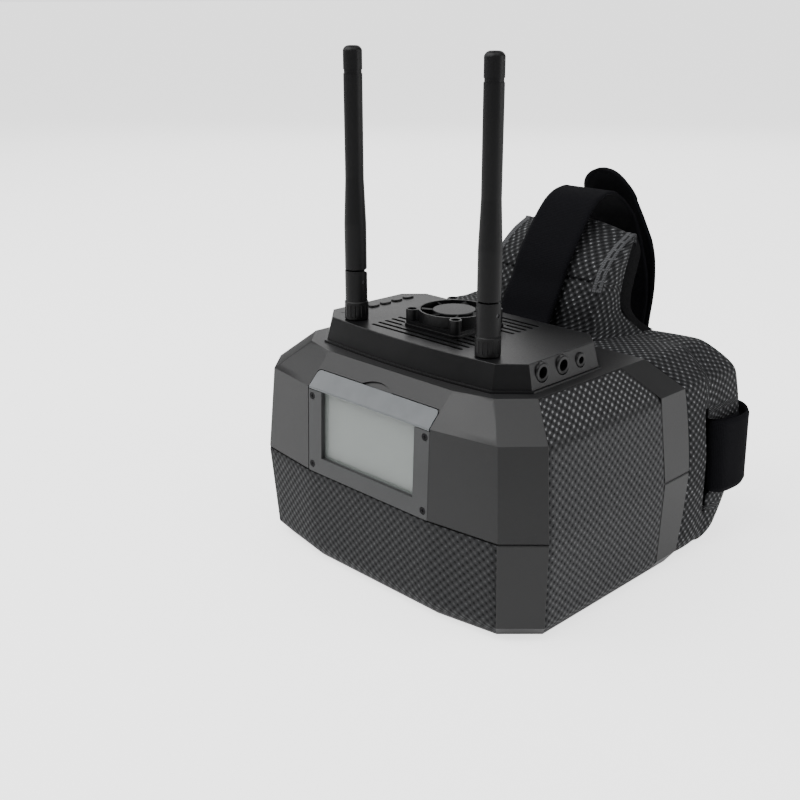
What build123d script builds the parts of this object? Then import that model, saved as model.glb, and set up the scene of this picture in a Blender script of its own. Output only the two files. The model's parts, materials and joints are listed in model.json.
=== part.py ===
"""FPV goggles: moulded box body, electronics housing, two folding antennas, soft face mask and straps.

Millimetres. +Z is up, -Y is the front the goggles look out of, +X is the side with the sockets.
The origin is at the bottom centre of the whole object: the body rests on Z = 0.
"""
import os
from collections import namedtuple
from math import atan2, cos, degrees, radians, sin

from build123d import *

os.makedirs("parts", exist_ok=True)

# ---------------------------------------------------------------- driving dimensions
OVERALL_DEPTH = 208.0
FRONT = -OVERALL_DEPTH / 2          # Y of the front face at the seam
SEAM_Z = 50.0                       # flat seam between the two body halves
SEAM_GAP = 0.2
WALL = 2.4
SKIN = 1.2                          # fabric panels
RUN = 0.15                          # clearance round inserted pieces

# The body's outline at five heights: a flat centre panel, two angled panels, 45 degree corner
# posts and straight sides. Depths are measured back from the front face.
Level = namedtuple("Level", "z centre_d kink_x end_d end_x post_d post_x side_x")
BOTTOM = Level(0.0, 8.0, 41.5, 13.5, 73.0, 28.5, 87.5, 86.0)
LOW = Level(7.0, 2.5, 41.5, 8.0, 77.5, 23.2, 92.4, 91.0)
SEAM = Level(SEAM_Z, 0.0, 41.5, 5.0, 79.3, 20.6, 94.8, 92.5)
FOLD = Level(94.0, 1.5, 41.5, 7.3, 75.8, 22.9, 90.3, 89.5)
DECK = Level(108.5, 15.6, 41.5, 21.0, 61.8, 34.6, 74.6, 74.0)
REAR_D = 140.0                      # sides run this deep before the rear outline cuts them

FRONT_LEAN = degrees(atan2(FOLD.centre_d - SEAM.centre_d, FOLD.z - SEAM.z))
SLOPE = degrees(atan2(DECK.z - FOLD.z, DECK.centre_d - FOLD.centre_d))

# Front window
BEZEL_HALF = 41.5
BEZEL_T = 2.2
WINDOW_HALF = 31.8
WINDOW_SILL = 8.7
PANE_HALF = 36.0
PANE_T = 1.2
PANE_BACK = BEZEL_T + 0.3 + PANE_T
LIP_HALF = 41.0
LIP_RUN = 9.8
LIP_T = 1.2
SCREW_X = 38.5
SCREW_V = (4.3, 39.6)

# Housing on the deck
HOUSING_Z = 120.9                   # its top
HOUSING_WALL = 2.0
FAN_X, FAN_D, FAN_SIZE, FAN_T, FAN_PITCH = -1.0, 61.4, 35.0, 7.0, 29.0
PAD_T = 1.4
SLOT_PITCH, SLOT_W, SLOT_HALF = 4.5, 2.0, 30.5
BUTTON_X, BUTTON_D, BUTTON_PITCH = -55.3, 58.1, 8.3
BUTTON_L, BUTTON_W, BUTTON_TRAVEL = 6.4, 4.4, 0.6
LED_X, LED_D = -57.0, 38.7
SOCKET_D, SOCKET_Z = (46.6, 61.5, 74.8), (115.8, 115.8, 115.2)
SOCKET_R = (2.75, 2.75, 1.75)
SOCKET_DEPTH = 9.0

# Antennas
ANT_X, ANT_D = 43.8, 35.9
NUT_R, NUT_TOP = 5.9, 130.4
ELBOW_R, HINGE_Z = 5.5, 140.2
WHIP_BASE = HINGE_Z + 5.9
WHIP_TOP = 251.4
WHIP_R, WHIP_TIP_R = 5.4, 4.5

# Display and lens
LCD_D, LCD_W, LCD_H, LCD_T = 14.0, 121.0, 76.0, 3.2
OPTIC_Z = 53.0
BULKHEAD_D = 79.0
LENS_W, LENS_H, LENS_T = 130.0, 78.0, 4.0

# Soft parts
MASK_TOP = 108.0
STRAP_T = 1.6
TOP_STRAP_HALF = 17.0
BAND_T = 1.8
BAND_LOW, BAND_HIGH = 31.2, 71.5


def at(depth):
    """Y of a depth measured back from the front face."""
    return FRONT + depth


def between(a, b, z):
    """The outline part-way between two levels."""
    t = (z - a.z) / (b.z - a.z)
    return Level(*(p + t * (q - p) for p, q in zip(a, b)))


def side_x(level, depth):
    """Half width of the straight side at a depth."""
    t = (depth - level.post_d) / (REAR_D - level.post_d)
    return level.post_x + t * (level.side_x - level.post_x)


def body_section(level, inset=0.0, z=None):
    """One closed outline of the body, pulled in by inset."""
    with BuildSketch(Plane.XY.offset(level.z if z is None else z)) as section:
        right = [
            (level.kink_x, at(level.centre_d)),
            (level.end_x, at(level.end_d)),
            (level.post_x, at(level.post_d)),
            (level.side_x, at(REAR_D)),
        ]
        left = [(-x, y) for x, y in reversed(right)]
        with BuildLine():
            Polyline(*right, *left, close=True)
        make_face()
        if inset:
            offset(amount=-inset, kind=Kind.INTERSECTION, mode=Mode.REPLACE)
    return section.sketch


def beyond_rear(gap, far):
    """All that lies on the far side of the body's rear outline, which bulges back at the cheeks."""
    with BuildPart(mode=Mode.PRIVATE) as rest:
        with BuildSketch(Plane.YZ):
            with BuildLine():
                Polyline((at(109 + gap), 116), (at(115 + gap), DECK.z), (at(128 + gap), FOLD.z))
                ThreePointArc((at(128 + gap), FOLD.z), (at(133 + gap), 52), (at(129.5 + gap), 7))
                Polyline(
                    (at(129.5 + gap), 7), (at(127 + gap), -2),
                    (at(far), -2), (at(far), 116), (at(109 + gap), 116),
                )
            make_face()
        extrude(amount=120, both=True)
    return rest.part


FRONT_PLANE = Plane(
    origin=(0, at(0), SEAM_Z),
    x_dir=(1, 0, 0),
    z_dir=(0, -cos(radians(FRONT_LEAN)), sin(radians(FRONT_LEAN))),
)
SLOPE_PLANE = Plane(
    origin=(0, at(FOLD.centre_d), FOLD.z),
    x_dir=(1, 0, 0),
    z_dir=(0, -sin(radians(SLOPE)), cos(radians(SLOPE))),
)

SLOPE_DIR = (cos(radians(SLOPE)), sin(radians(SLOPE)))


def lip_point(run, drop):
    """(Y, Z) a distance up the slanted facet and below its surface."""
    depth = FOLD.centre_d + run * SLOPE_DIR[0] + drop * SLOPE_DIR[1]
    return (at(depth), FOLD.z + run * SLOPE_DIR[1] - drop * SLOPE_DIR[0])


def pane_point(z, drop):
    """(Y, Z) on the leaning front, drop behind its surface."""
    return (at((z - SEAM_Z) * sin(radians(FRONT_LEAN)) + drop), z)


LIP_FOOT = 93.1                     # height of the lip's lower edge

# ---------------------------------------------------------------- fabric panels


def side_skin(side, inner, edge, outer):
    """A thin sheet over one side: slanted facet, upper side and lower side.

    inner and outer are its distances in from the body's face, edge is added all round.
    """
    heights = (
        (between(BOTTOM, LOW, 2.4 - edge), 112.0, 1.2),
        (LOW, 112.0, 1.0),
        (SEAM, 111.5, 1.0),
        (FOLD, 107.5, 1.0),
        (between(FOLD, DECK, 108.0 + min(edge, 0.4)), 95.5, 1.42),
    )
    with BuildPart(mode=Mode.PRIVATE) as sheet:
        for level, rear_d, thicken in heights:
            front_d = level.post_d + 0.4 - edge
            rear = rear_d + edge
            with BuildSketch(Plane.XY.offset(level.z)):
                with BuildLine():
                    Polyline(
                        (side * (side_x(level, front_d) - outer), at(front_d)),
                        (side * (side_x(level, rear) - outer), at(rear)),
                        (side * (side_x(level, rear) - inner * thicken), at(rear)),
                        (side * (side_x(level, front_d) - inner * thicken), at(front_d)),
                        close=True,
                    )
                make_face()
        loft(ruled=True)
    return sheet.part


def front_skin(inner, edge, outer):
    """A thin sheet over the three lower front panels."""
    heights = (between(BOTTOM, LOW, 2.4 - edge), LOW, SEAM._replace(z=SEAM_Z - SEAM_GAP - 0.2 + edge * 4))
    with BuildPart(mode=Mode.PRIVATE) as sheet:
        for level in heights:
            end_x = level.end_x - 0.5 + edge
            face = [(level.kink_x, level.centre_d), (end_x, level.end_d)]
            outline = [(-x, at(d + outer)) for x, d in reversed(face)]
            outline += [(x, at(d + outer)) for x, d in face]
            outline += [(x, at(d + inner)) for x, d in reversed(face)]
            outline += [(-x, at(d + inner)) for x, d in face]
            with BuildSketch(Plane.XY.offset(level.z)):
                with BuildLine():
                    Polyline(*outline, close=True)
                make_face()
        loft(ruled=True)
    return sheet.part


with BuildPart() as fabric_front:
    add(front_skin(SKIN + 0.1, 0.0, 0.1))

with BuildPart() as fabric_side_right:
    add(side_skin(1, SKIN + 0.2, 0.0, 0.2))

with BuildPart() as fabric_side_left:
    add(side_skin(-1, SKIN + 0.2, 0.0, 0.2))

# ---------------------------------------------------------------- body halves

with BuildPart() as shell_upper:
    loft(
        [
            body_section(SEAM, 0.5, z=SEAM_Z + SEAM_GAP / 2),
            body_section(SEAM, 0.0, z=SEAM_Z + 0.7),
            body_section(FOLD),
            body_section(DECK),
        ],
        ruled=True,
    )
    add(beyond_rear(0, 250), mode=Mode.SUBTRACT)
    # hollow inside
    loft(
        [
            body_section(SEAM, WALL, z=SEAM_Z - 1),
            body_section(FOLD, WALL, z=FOLD.z - 1),
            body_section(DECK, 1.0, z=DECK.z - WALL),
        ],
        ruled=True,
        mode=Mode.SUBTRACT,
    )
    # front opening for the bezel, channel for the cover, pocket for its lip and thumb recess
    with BuildSketch(FRONT_PLANE.offset(1)):
        with Locations((0, 22)):
            Rectangle(2 * BEZEL_HALF + 0.5, 44.4)
    extrude(amount=-(WALL + 2.0), mode=Mode.SUBTRACT)
    with BuildSketch(FRONT_PLANE.offset(-BEZEL_T - 0.1)):
        with Locations((0, 50)):
            Rectangle(2 * PANE_HALF + 0.8, 20)
    extrude(amount=-PANE_T - 0.6, mode=Mode.SUBTRACT)
    with BuildSketch(SLOPE_PLANE):
        with Locations((0, LIP_RUN / 2 - 1)):
            RectangleRounded(2 * LIP_HALF + 0.8, LIP_RUN + 2.8, 2)
    extrude(amount=-LIP_T, mode=Mode.SUBTRACT)
    with BuildSketch(Plane.YZ):
        with BuildLine():
            Polyline(
                pane_point(LIP_FOOT - 0.2, -1), lip_point(0, -1), lip_point(3.6, -1), lip_point(3.6, LIP_T),
                pane_point(LIP_FOOT - 0.2, BEZEL_T + 0.6), close=True,
            )
        make_face()
    extrude(amount=LIP_HALF + 0.4, both=True, mode=Mode.SUBTRACT)
    with BuildSketch(SLOPE_PLANE):
        with Locations((0, LIP_RUN - 14.6)):
            Circle(18.0)
    extrude(amount=-0.9, mode=Mode.SUBTRACT)
    # recesses for the side panels, holes for the board's stand-offs and the antenna leads
    add(side_skin(1, SKIN + 0.35, RUN, -2.0), mode=Mode.SUBTRACT)
    add(side_skin(-1, SKIN + 0.35, RUN, -2.0), mode=Mode.SUBTRACT)
    with Locations((0, at(60), DECK.z)):
        Box(60, 30, 12, mode=Mode.SUBTRACT)

with BuildPart() as shell_lower:
    loft(
        [
            body_section(BOTTOM),
            body_section(LOW),
            body_section(SEAM, 0.0, z=SEAM_Z - 0.7),
            body_section(SEAM, 0.5, z=SEAM_Z - SEAM_GAP / 2),
        ],
        ruled=True,
    )
    add(beyond_rear(0, 250), mode=Mode.SUBTRACT)
    loft(
        [
            body_section(BOTTOM, 1.15, z=WALL),
            body_section(LOW, WALL, z=LOW.z + 1.2),
            body_section(SEAM, WALL, z=SEAM_Z + 1),
        ],
        ruled=True,
        mode=Mode.SUBTRACT,
    )
    add(front_skin(SKIN + 0.3, RUN, -2.0), mode=Mode.SUBTRACT)
    add(side_skin(1, SKIN + 0.35, RUN, -2.0), mode=Mode.SUBTRACT)
    add(side_skin(-1, SKIN + 0.35, RUN, -2.0), mode=Mode.SUBTRACT)
    with Locations((0, at(70), 0)):
        with GridLocations(130, 80, 2, 2):
            Cylinder(4.2, 7, align=(Align.CENTER, Align.CENTER, Align.MIN))
    with Locations(Plane.XY.rotated((180, 0, 0))):
        with Locations((0, -at(70), 0)):
            with GridLocations(130, 80, 2, 2):
                CounterBoreHole(1.3, 2.4, 2.6, depth=7.5)

with BuildPart() as shell_screws:
    with Locations((0, at(70), 0.8)):
        with GridLocations(130, 80, 2, 2):
            Cylinder(2.2, 1.6, align=(Align.CENTER, Align.CENTER, Align.MIN))
            Cylinder(1.2, 8, align=(Align.CENTER, Align.CENTER, Align.MIN))
            Box(2.6, 0.5, 1.2, mode=Mode.SUBTRACT)
            Box(0.5, 2.6, 1.2, mode=Mode.SUBTRACT)

# ---------------------------------------------------------------- front window

with BuildPart() as bezel_front:
    with BuildSketch(FRONT_PLANE):
        with Locations((0, 21.55)):
            Rectangle(2 * BEZEL_HALF, 42.5)
        with Locations((0, WINDOW_SILL + 25)):
            Rectangle(2 * WINDOW_HALF, 50, mode=Mode.SUBTRACT)
    extrude(amount=-BEZEL_T)
    outer = bezel_front.edges().filter_by(Axis.X, reverse=True).group_by(Axis.Y)[0]
    chamfer(outer, 0.3)
    for v in SCREW_V:
        with Locations(FRONT_PLANE.location):
            with Locations((-SCREW_X, v), (SCREW_X, v)):
                CounterBoreHole(0.95, 1.85, 0.9, depth=BEZEL_T)

with BuildPart() as bezel_screws:
    for v in SCREW_V:
        with BuildSketch(FRONT_PLANE.offset(-0.15)):
            with Locations((-SCREW_X, v), (SCREW_X, v)):
                Circle(1.6)
        extrude(amount=-0.7)
        with BuildSketch(FRONT_PLANE.offset(-0.5)):
            with Locations((-SCREW_X, v), (SCREW_X, v)):
                Circle(0.85)
        extrude(amount=-5.2)
        with BuildSketch(FRONT_PLANE):
            with Locations((-SCREW_X, v), (SCREW_X, v)):
                Rectangle(1.9, 0.45)
                Rectangle(0.45, 1.9)
        extrude(amount=-0.5, mode=Mode.SUBTRACT)

with BuildPart() as cover_window:
    # the bent lip lies on the slanted facet, the pane hangs from its underside
    with BuildSketch(Plane.YZ):
        with BuildLine():
            Polyline(
                pane_point(LIP_FOOT, 0.0), lip_point(0.0, -0.15), lip_point(LIP_RUN, -0.15),
                lip_point(LIP_RUN, LIP_T - 0.15), lip_point(3.2, LIP_T - 0.15),
                pane_point(LIP_FOOT, BEZEL_T + 0.3), close=True,
            )
        make_face()
    extrude(amount=LIP_HALF, both=True)
    # upright end face, so that the lip leaves its pocket as it lifts
    lip_rear = lip_point(LIP_RUN, -0.15)[0]
    with BuildSketch(Plane.XY.offset(80)):
        with Locations((0, lip_rear - 10)):
            RectangleRounded(2 * LIP_HALF, 20, 2)
    extrude(amount=40, mode=Mode.INTERSECT)
    with BuildSketch(Plane.YZ):
        with BuildLine():
            Polyline(
                pane_point(55.2, PANE_BACK - PANE_T), pane_point(94.4, PANE_BACK - PANE_T),
                lip_point(4.2, LIP_T - 0.6), pane_point(96.0, PANE_BACK), pane_point(55.2, PANE_BACK),
                close=True,
            )
        make_face()
    extrude(amount=PANE_HALF, both=True)

with BuildPart() as panel_frosted:
    with BuildSketch(FRONT_PLANE.offset(-PANE_BACK - 0.25)):
        with Locations((0, 25)):
            Rectangle(68, 37.6)
    extrude(amount=-1.4)

with BuildPart() as window_frame:
    with BuildSketch(FRONT_PLANE.offset(-BEZEL_T - 0.05)):
        with Locations((0, 21.5)):
            Rectangle(82.6, 42)
    extrude(amount=-4.6)
    with BuildSketch(FRONT_PLANE.offset(-BEZEL_T - 0.05)):
        with Locations((0, 30)):
            Rectangle(2 * PANE_HALF + 0.6, 50.6)
    extrude(amount=-PANE_T - 0.45, mode=Mode.SUBTRACT)
    with BuildSketch(FRONT_PLANE.offset(-PANE_BACK)):
        with Locations((0, 25)):
            Rectangle(68.4, 38)
    extrude(amount=-1.75, mode=Mode.SUBTRACT)
    with BuildSketch(FRONT_PLANE.offset(-PANE_BACK)):
        with Locations((0, 25)):
            Rectangle(60, 32)
    extrude(amount=-6, mode=Mode.SUBTRACT)
    for v in SCREW_V:
        with BuildSketch(FRONT_PLANE):
            with Locations((-SCREW_X, v), (SCREW_X, v)):
                Circle(0.9)
        extrude(amount=-5.9, mode=Mode.SUBTRACT)

# ---------------------------------------------------------------- display and lens

with BuildPart() as lcd_panel:
    with Locations((0, at(LCD_D + LCD_T / 2), OPTIC_Z)):
        Box(LCD_W, LCD_T, LCD_H)
    chamfer(lcd_panel.edges().filter_by(Axis.Y), 1.0)

with BuildPart() as lens_frame:
    # tapered light tunnel from the display back to the lens
    with BuildSketch(Plane.XZ.offset(-at(LCD_D - 1.5))):
        with Locations((0, OPTIC_Z)):
            Rectangle(LCD_W + 5, LCD_H + 5)
    with BuildSketch(Plane.XZ.offset(-at(BULKHEAD_D))):
        with Locations((0, OPTIC_Z)):
            Rectangle(LENS_W + 6, LENS_H + 6)
    loft(ruled=True)
    with Locations((0, at(LCD_D + LCD_T / 2), OPTIC_Z)):
        Box(LCD_W + 0.4, LCD_T + 0.2, LCD_H + 0.4, mode=Mode.SUBTRACT)
    with BuildSketch(Plane.XZ.offset(-at(LCD_D + LCD_T))):
        with Locations((0, OPTIC_Z)):
            Rectangle(LCD_W - 8, LCD_H - 8)
    with BuildSketch(Plane.XZ.offset(-at(BULKHEAD_D))):
        with Locations((0, OPTIC_Z)):
            Rectangle(LENS_W - 6, LENS_H - 6)
    loft(ruled=True, mode=Mode.SUBTRACT)
    with Locations((0, at(LCD_D - 1.5), OPTIC_Z)):
        Box(LCD_W - 10, 8, LCD_H - 10, mode=Mode.SUBTRACT)
    # bulkhead that fills the body and carries the lens
    with BuildSketch(Plane.XZ.offset(-at(BULKHEAD_D))):
        with BuildLine():
            Polyline(
                (84, 8.5), (90.2, SEAM_Z), (86.5, 93), (71.5, 105.6),
                (-71.5, 105.6), (-86.5, 93), (-90.2, SEAM_Z), (-84, 8.5),
                (-81, 3.2), (81, 3.2), close=True,
            )
        make_face()
        with Locations((0, OPTIC_Z)):
            Rectangle(LENS_W - 6, LENS_H - 6, mode=Mode.SUBTRACT)
    extrude(amount=-3.0)
    with Locations((0, at(BULKHEAD_D + 2), OPTIC_Z)):
        Box(LENS_W + 0.4, 2.2, LENS_H + 0.4, mode=Mode.SUBTRACT)

with BuildPart() as lens:
    with Locations((0, at(BULKHEAD_D + 1 + LENS_T / 2), OPTIC_Z)):
        Box(LENS_W, LENS_T, LENS_H)
    fillet(lens.edges().filter_by(Axis.Y), 3.0)
    chamfer(lens.faces().sort_by(Axis.Y)[-1].edges(), 1.2)

# ---------------------------------------------------------------- electronics housing


def housing_section(z, grow):
    """Octagonal outline with a slightly bowed front, grown outward by grow."""
    with BuildSketch(Plane.XY.offset(z)) as section:
        with BuildLine():
            ThreePointArc(
                (-54.5 - grow * 0.3, at(29.0 - grow)),
                (0, at(25.6 - grow)),
                (54.5 + grow * 0.3, at(29.0 - grow)),
            )
            Polyline(
                (54.5 + grow * 0.3, at(29.0 - grow)),
                (65.2 + grow, at(39.0 - grow * 0.3)),
                (64.2 + grow, at(86.8 + grow * 0.3)),
                (54.8 + grow * 0.4, at(96.4 + grow)),
                (-54.8 - grow * 0.4, at(96.4 + grow)),
                (-64.2 - grow, at(86.8 + grow * 0.3)),
                (-65.2 - grow, at(39.0 - grow * 0.3)),
                (-54.5 - grow * 0.3, at(29.0 - grow)),
            )
        make_face()
    return section.sketch


with BuildPart() as housing_top:
    loft([housing_section(DECK.z + 0.05, 4.6), housing_section(DECK.z + 1.0, 4.4)], ruled=True)
    loft([housing_section(DECK.z + 1.0, 3.0), housing_section(HOUSING_Z, 0.0)], ruled=True)
    fillet(housing_top.faces().sort_by(Axis.Z)[-1].edges(), 0.6)
    hollow = [housing_section(DECK.z - 1.0, 1.4), housing_section(HOUSING_Z - HOUSING_WALL, -HOUSING_WALL)]
    loft(hollow, ruled=True, mode=Mode.SUBTRACT)
    # louvres before and behind the fan, and the fan's own opening
    with BuildSketch(Plane.XY.offset(HOUSING_Z + 1)):
        for row in range(5):
            for way in (-1, 1):
                with Locations((FAN_X / 2, at(FAN_D + way * (9.0 + SLOT_PITCH * row)))):
                    SlotOverall(2 * SLOT_HALF, SLOT_W)
    extrude(amount=-4, mode=Mode.SUBTRACT)
    with Locations((FAN_X, at(FAN_D), HOUSING_Z)):
        Box(FAN_SIZE + 1.6, FAN_SIZE + 1.6, 2 * HOUSING_WALL)
        Cylinder(15.5, 12, mode=Mode.SUBTRACT)
        with GridLocations(FAN_PITCH, FAN_PITCH, 2, 2):
            Cylinder(1.2, 12, mode=Mode.SUBTRACT)
    with Locations((FAN_X, at(FAN_D), HOUSING_Z + HOUSING_WALL)):
        Box(40, 40, 2 * HOUSING_WALL, mode=Mode.SUBTRACT)
    # buttons, indicator, antenna connectors, sockets
    with BuildSketch(Plane.XY.offset(HOUSING_Z + 1)):
        for i in range(4):
            with Locations((BUTTON_X, at(BUTTON_D + i * BUTTON_PITCH))):
                SlotOverall(BUTTON_L + 0.3, BUTTON_W + 0.3, rotation=90)
        with Locations((LED_X, at(LED_D))):
            Circle(1.25)
        with Locations((-ANT_X, at(ANT_D)), (ANT_X, at(ANT_D))):
            Circle(3.2)
    extrude(amount=-4, mode=Mode.SUBTRACT)
    with Locations(Plane.YZ.location):
        for d, z, r in zip(SOCKET_D, SOCKET_Z, SOCKET_R):
            with Locations((at(d), z, 68)):
                Cylinder(r + 1.8, 15, mode=Mode.SUBTRACT)
housing_top.part = housing_top.part.solids().sort_by(SortBy.VOLUME)[-1]

with BuildPart() as fan_pad:
    with Locations((FAN_X, at(FAN_D), HOUSING_Z + PAD_T / 2)):
        Box(FAN_SIZE + 0.8, FAN_SIZE + 0.8, PAD_T)
    fillet(fan_pad.edges().filter_by(Axis.Z), 3.0)
    with Locations((FAN_X, at(FAN_D), HOUSING_Z)):
        Cylinder(15.8, 10, mode=Mode.SUBTRACT)
        with GridLocations(FAN_PITCH, FAN_PITCH, 2, 2):
            Cylinder(1.3, 10, mode=Mode.SUBTRACT)

FAN_Z = HOUSING_Z + PAD_T
with BuildPart() as fan_frame:
    # thin square flange, round wall and a tall screw boss at each corner
    with Locations((FAN_X, at(FAN_D), FAN_Z)):
        Box(FAN_SIZE, FAN_SIZE, 1.4, align=(Align.CENTER, Align.CENTER, Align.MIN))
    fillet(fan_frame.edges().filter_by(Axis.Z), 3.4)
    with Locations((FAN_X, at(FAN_D), FAN_Z)):
        Cylinder(FAN_SIZE / 2 - 0.1, FAN_T, align=(Align.CENTER, Align.CENTER, Align.MIN))
        with GridLocations(FAN_PITCH, FAN_PITCH, 2, 2):
            Cylinder(3.0, FAN_T, align=(Align.CENTER, Align.CENTER, Align.MIN))
        with PolarLocations(FAN_PITCH / 2 * 1.25, 4, start_angle=45):
            Box(5.0, 5.0, FAN_T, align=(Align.CENTER, Align.CENTER, Align.MIN))
    with Locations((FAN_X, at(FAN_D), FAN_Z + FAN_T / 2)):
        Cylinder(16.5, FAN_T, mode=Mode.SUBTRACT)
    with Locations((FAN_X, at(FAN_D), FAN_Z)):
        with GridLocations(FAN_PITCH, FAN_PITCH, 2, 2):
            Cylinder(1.6, 20, mode=Mode.SUBTRACT)
    with Locations((FAN_X, at(FAN_D), FAN_Z + FAN_T - 2.6)):
        with GridLocations(FAN_PITCH, FAN_PITCH, 2, 2):
            Cylinder(2.2, 10, align=(Align.CENTER, Align.CENTER, Align.MIN), mode=Mode.SUBTRACT)
    # four spokes carry the bearing boss
    with Locations((FAN_X, at(FAN_D), FAN_Z)):
        Cylinder(10.2, 1.2, align=(Align.CENTER, Align.CENTER, Align.MIN))
        with PolarLocations(13.6, 4, start_angle=20):
            Box(7.6, 1.8, 1.2, align=(Align.CENTER, Align.CENTER, Align.MIN))
    with Locations((FAN_X, at(FAN_D), FAN_Z)):
        Cylinder(1.05, 10, mode=Mode.SUBTRACT)

with BuildPart() as fan_rotor:
    with Locations((FAN_X, at(FAN_D), FAN_Z + 1.6)):
        Cylinder(10.6, FAN_T - 1.8, align=(Align.CENTER, Align.CENTER, Align.MIN))
    fillet(fan_rotor.faces().sort_by(Axis.Z)[-1].edges(), 0.5)
    with Locations((FAN_X, at(FAN_D), FAN_Z + 4.2)):
        with PolarLocations(13.2, 7):
            Box(6.2, 7.2, 0.8, rotation=(38, 0, 0))
    with BuildSketch(Plane.XY.offset(FAN_Z)):
        with Locations((FAN_X, at(FAN_D))):
            Circle(16.1)
    extrude(amount=FAN_T - 0.2, mode=Mode.INTERSECT)
    with Locations((FAN_X, at(FAN_D), FAN_Z + 0.1)):
        Cylinder(1.0, 3, align=(Align.CENTER, Align.CENTER, Align.MIN))

with BuildPart() as fan_screws:
    with Locations((FAN_X, at(FAN_D), FAN_Z + FAN_T - 2.5)):
        with GridLocations(FAN_PITCH, FAN_PITCH, 2, 2):
            Cylinder(2.0, 1.2, align=(Align.CENTER, Align.CENTER, Align.MIN))
            Cylinder(1.1, 6.7, align=(Align.CENTER, Align.CENTER, Align.MAX))
            Box(2.4, 0.5, 1.6, mode=Mode.SUBTRACT)
            Box(0.5, 2.4, 1.6, mode=Mode.SUBTRACT)


def button(index):
    """One low oblong key cap with a stem wider than its opening."""
    place = (BUTTON_X, at(BUTTON_D + index * BUTTON_PITCH))
    with BuildPart(mode=Mode.PRIVATE) as cap:
        with BuildSketch(Plane.XY.offset(HOUSING_Z - 3.2)):
            with Locations(place):
                SlotOverall(BUTTON_L, BUTTON_W, rotation=90)
        extrude(amount=4.1)
        fillet(cap.faces().sort_by(Axis.Z)[-1].edges(), 0.5)
        with BuildSketch(Plane.XY.offset(HOUSING_Z - 3.9)):
            with Locations(place):
                SlotOverall(BUTTON_L + 1.4, BUTTON_W + 1.4, rotation=90)
        extrude(amount=1.2)
    return cap.part


with BuildPart() as button_1:
    add(button(0))
with BuildPart() as button_2:
    add(button(1))
with BuildPart() as button_3:
    add(button(2))
with BuildPart() as button_4:
    add(button(3))

with BuildPart() as led_lens:
    with Locations((LED_X, at(LED_D), HOUSING_Z - 3)):
        Cylinder(1.2, 3.1, align=(Align.CENTER, Align.CENTER, Align.MIN))
        Cylinder(2.0, 0.8, align=(Align.CENTER, Align.CENTER, Align.MIN))


def socket(index, wall_x):
    """A round socket body behind the side wall with a collar flush in it."""
    d, z, r = SOCKET_D[index], SOCKET_Z[index], SOCKET_R[index]
    with BuildPart(mode=Mode.PRIVATE) as body:
        with BuildSketch(Plane.YZ.offset(wall_x - 5.4)):
            with Locations((at(d), z)):
                Circle(r + 1.7)
        extrude(amount=5.4)
        chamfer(body.faces().sort_by(Axis.X)[-1].edges(), 0.4)
        with BuildSketch(Plane.YZ.offset(wall_x - SOCKET_DEPTH - 4)):
            with Locations((at(d), z - 0.5)):
                RectangleRounded(2 * r + 4.2, min(2 * r + 4.0, 6.8), 0.6)
        extrude(amount=7.8)
        with BuildSketch(Plane.YZ.offset(wall_x + 1)):
            with Locations((at(d), z)):
                Circle(r)
        extrude(amount=-SOCKET_DEPTH - 1, mode=Mode.SUBTRACT)
    return body.part


with BuildPart() as socket_front:
    add(socket(0, 67.2))
with BuildPart() as socket_middle:
    add(socket(1, 66.9))
with BuildPart() as socket_rear:
    add(socket(2, 66.7))

with BuildPart() as main_board:
    with Locations((0, at(61), DECK.z + 1.2)):
        Box(100, 62, 1.6, align=(Align.CENTER, Align.CENTER, Align.MIN))
    with Locations((0, at(61), DECK.z)):
        with GridLocations(90, 52, 2, 2):
            Cylinder(2.2, 1.3, align=(Align.CENTER, Align.CENTER, Align.MIN))
    with Locations((18, at(44), DECK.z + 2.8)):
        Box(22, 16, 2.4, align=(Align.CENTER, Align.CENTER, Align.MIN))
    with Locations((-20, at(80), DECK.z + 2.8)):
        Box(14, 14, 1.4, align=(Align.CENTER, Align.CENTER, Align.MIN))

# ---------------------------------------------------------------- antennas


def connector(side):
    """Threaded coaxial stub standing through the housing."""
    with BuildPart(mode=Mode.PRIVATE) as stub:
        with Locations((side * ANT_X, at(ANT_D), HOUSING_Z - 5)):
            Cylinder(3.1, 11.0, align=(Align.CENTER, Align.CENTER, Align.MIN))
            Cylinder(4.4, 2.8, align=(Align.CENTER, Align.CENTER, Align.MIN))
        with Locations((side * ANT_X, at(ANT_D), HOUSING_Z + 6)):
            Cylinder(2.2, 8, mode=Mode.SUBTRACT)
    return stub.part


def nut(side):
    """Coupling nut with a grooved grip, screwed down on the housing."""
    height = NUT_TOP - HOUSING_Z - 0.05
    with BuildPart(mode=Mode.PRIVATE) as ring:
        with Locations((side * ANT_X, at(ANT_D), HOUSING_Z + 0.05)):
            Cylinder(NUT_R, height, align=(Align.CENTER, Align.CENTER, Align.MIN))
        chamfer(ring.edges().filter_by(GeomType.CIRCLE), 0.5)
        with Locations((side * ANT_X, at(ANT_D), HOUSING_Z + 1.8)):
            with PolarLocations(NUT_R + 0.35, 16):
                Cylinder(0.7, height - 3.4, align=(Align.CENTER, Align.CENTER, Align.MIN), mode=Mode.SUBTRACT)
        with Locations((side * ANT_X, at(ANT_D), HOUSING_Z)):
            Cylinder(3.15, 30, mode=Mode.SUBTRACT)
        with Locations((side * ANT_X, at(ANT_D), NUT_TOP)):
            Cylinder(3.5, 5, mode=Mode.SUBTRACT)
    return ring.part


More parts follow.
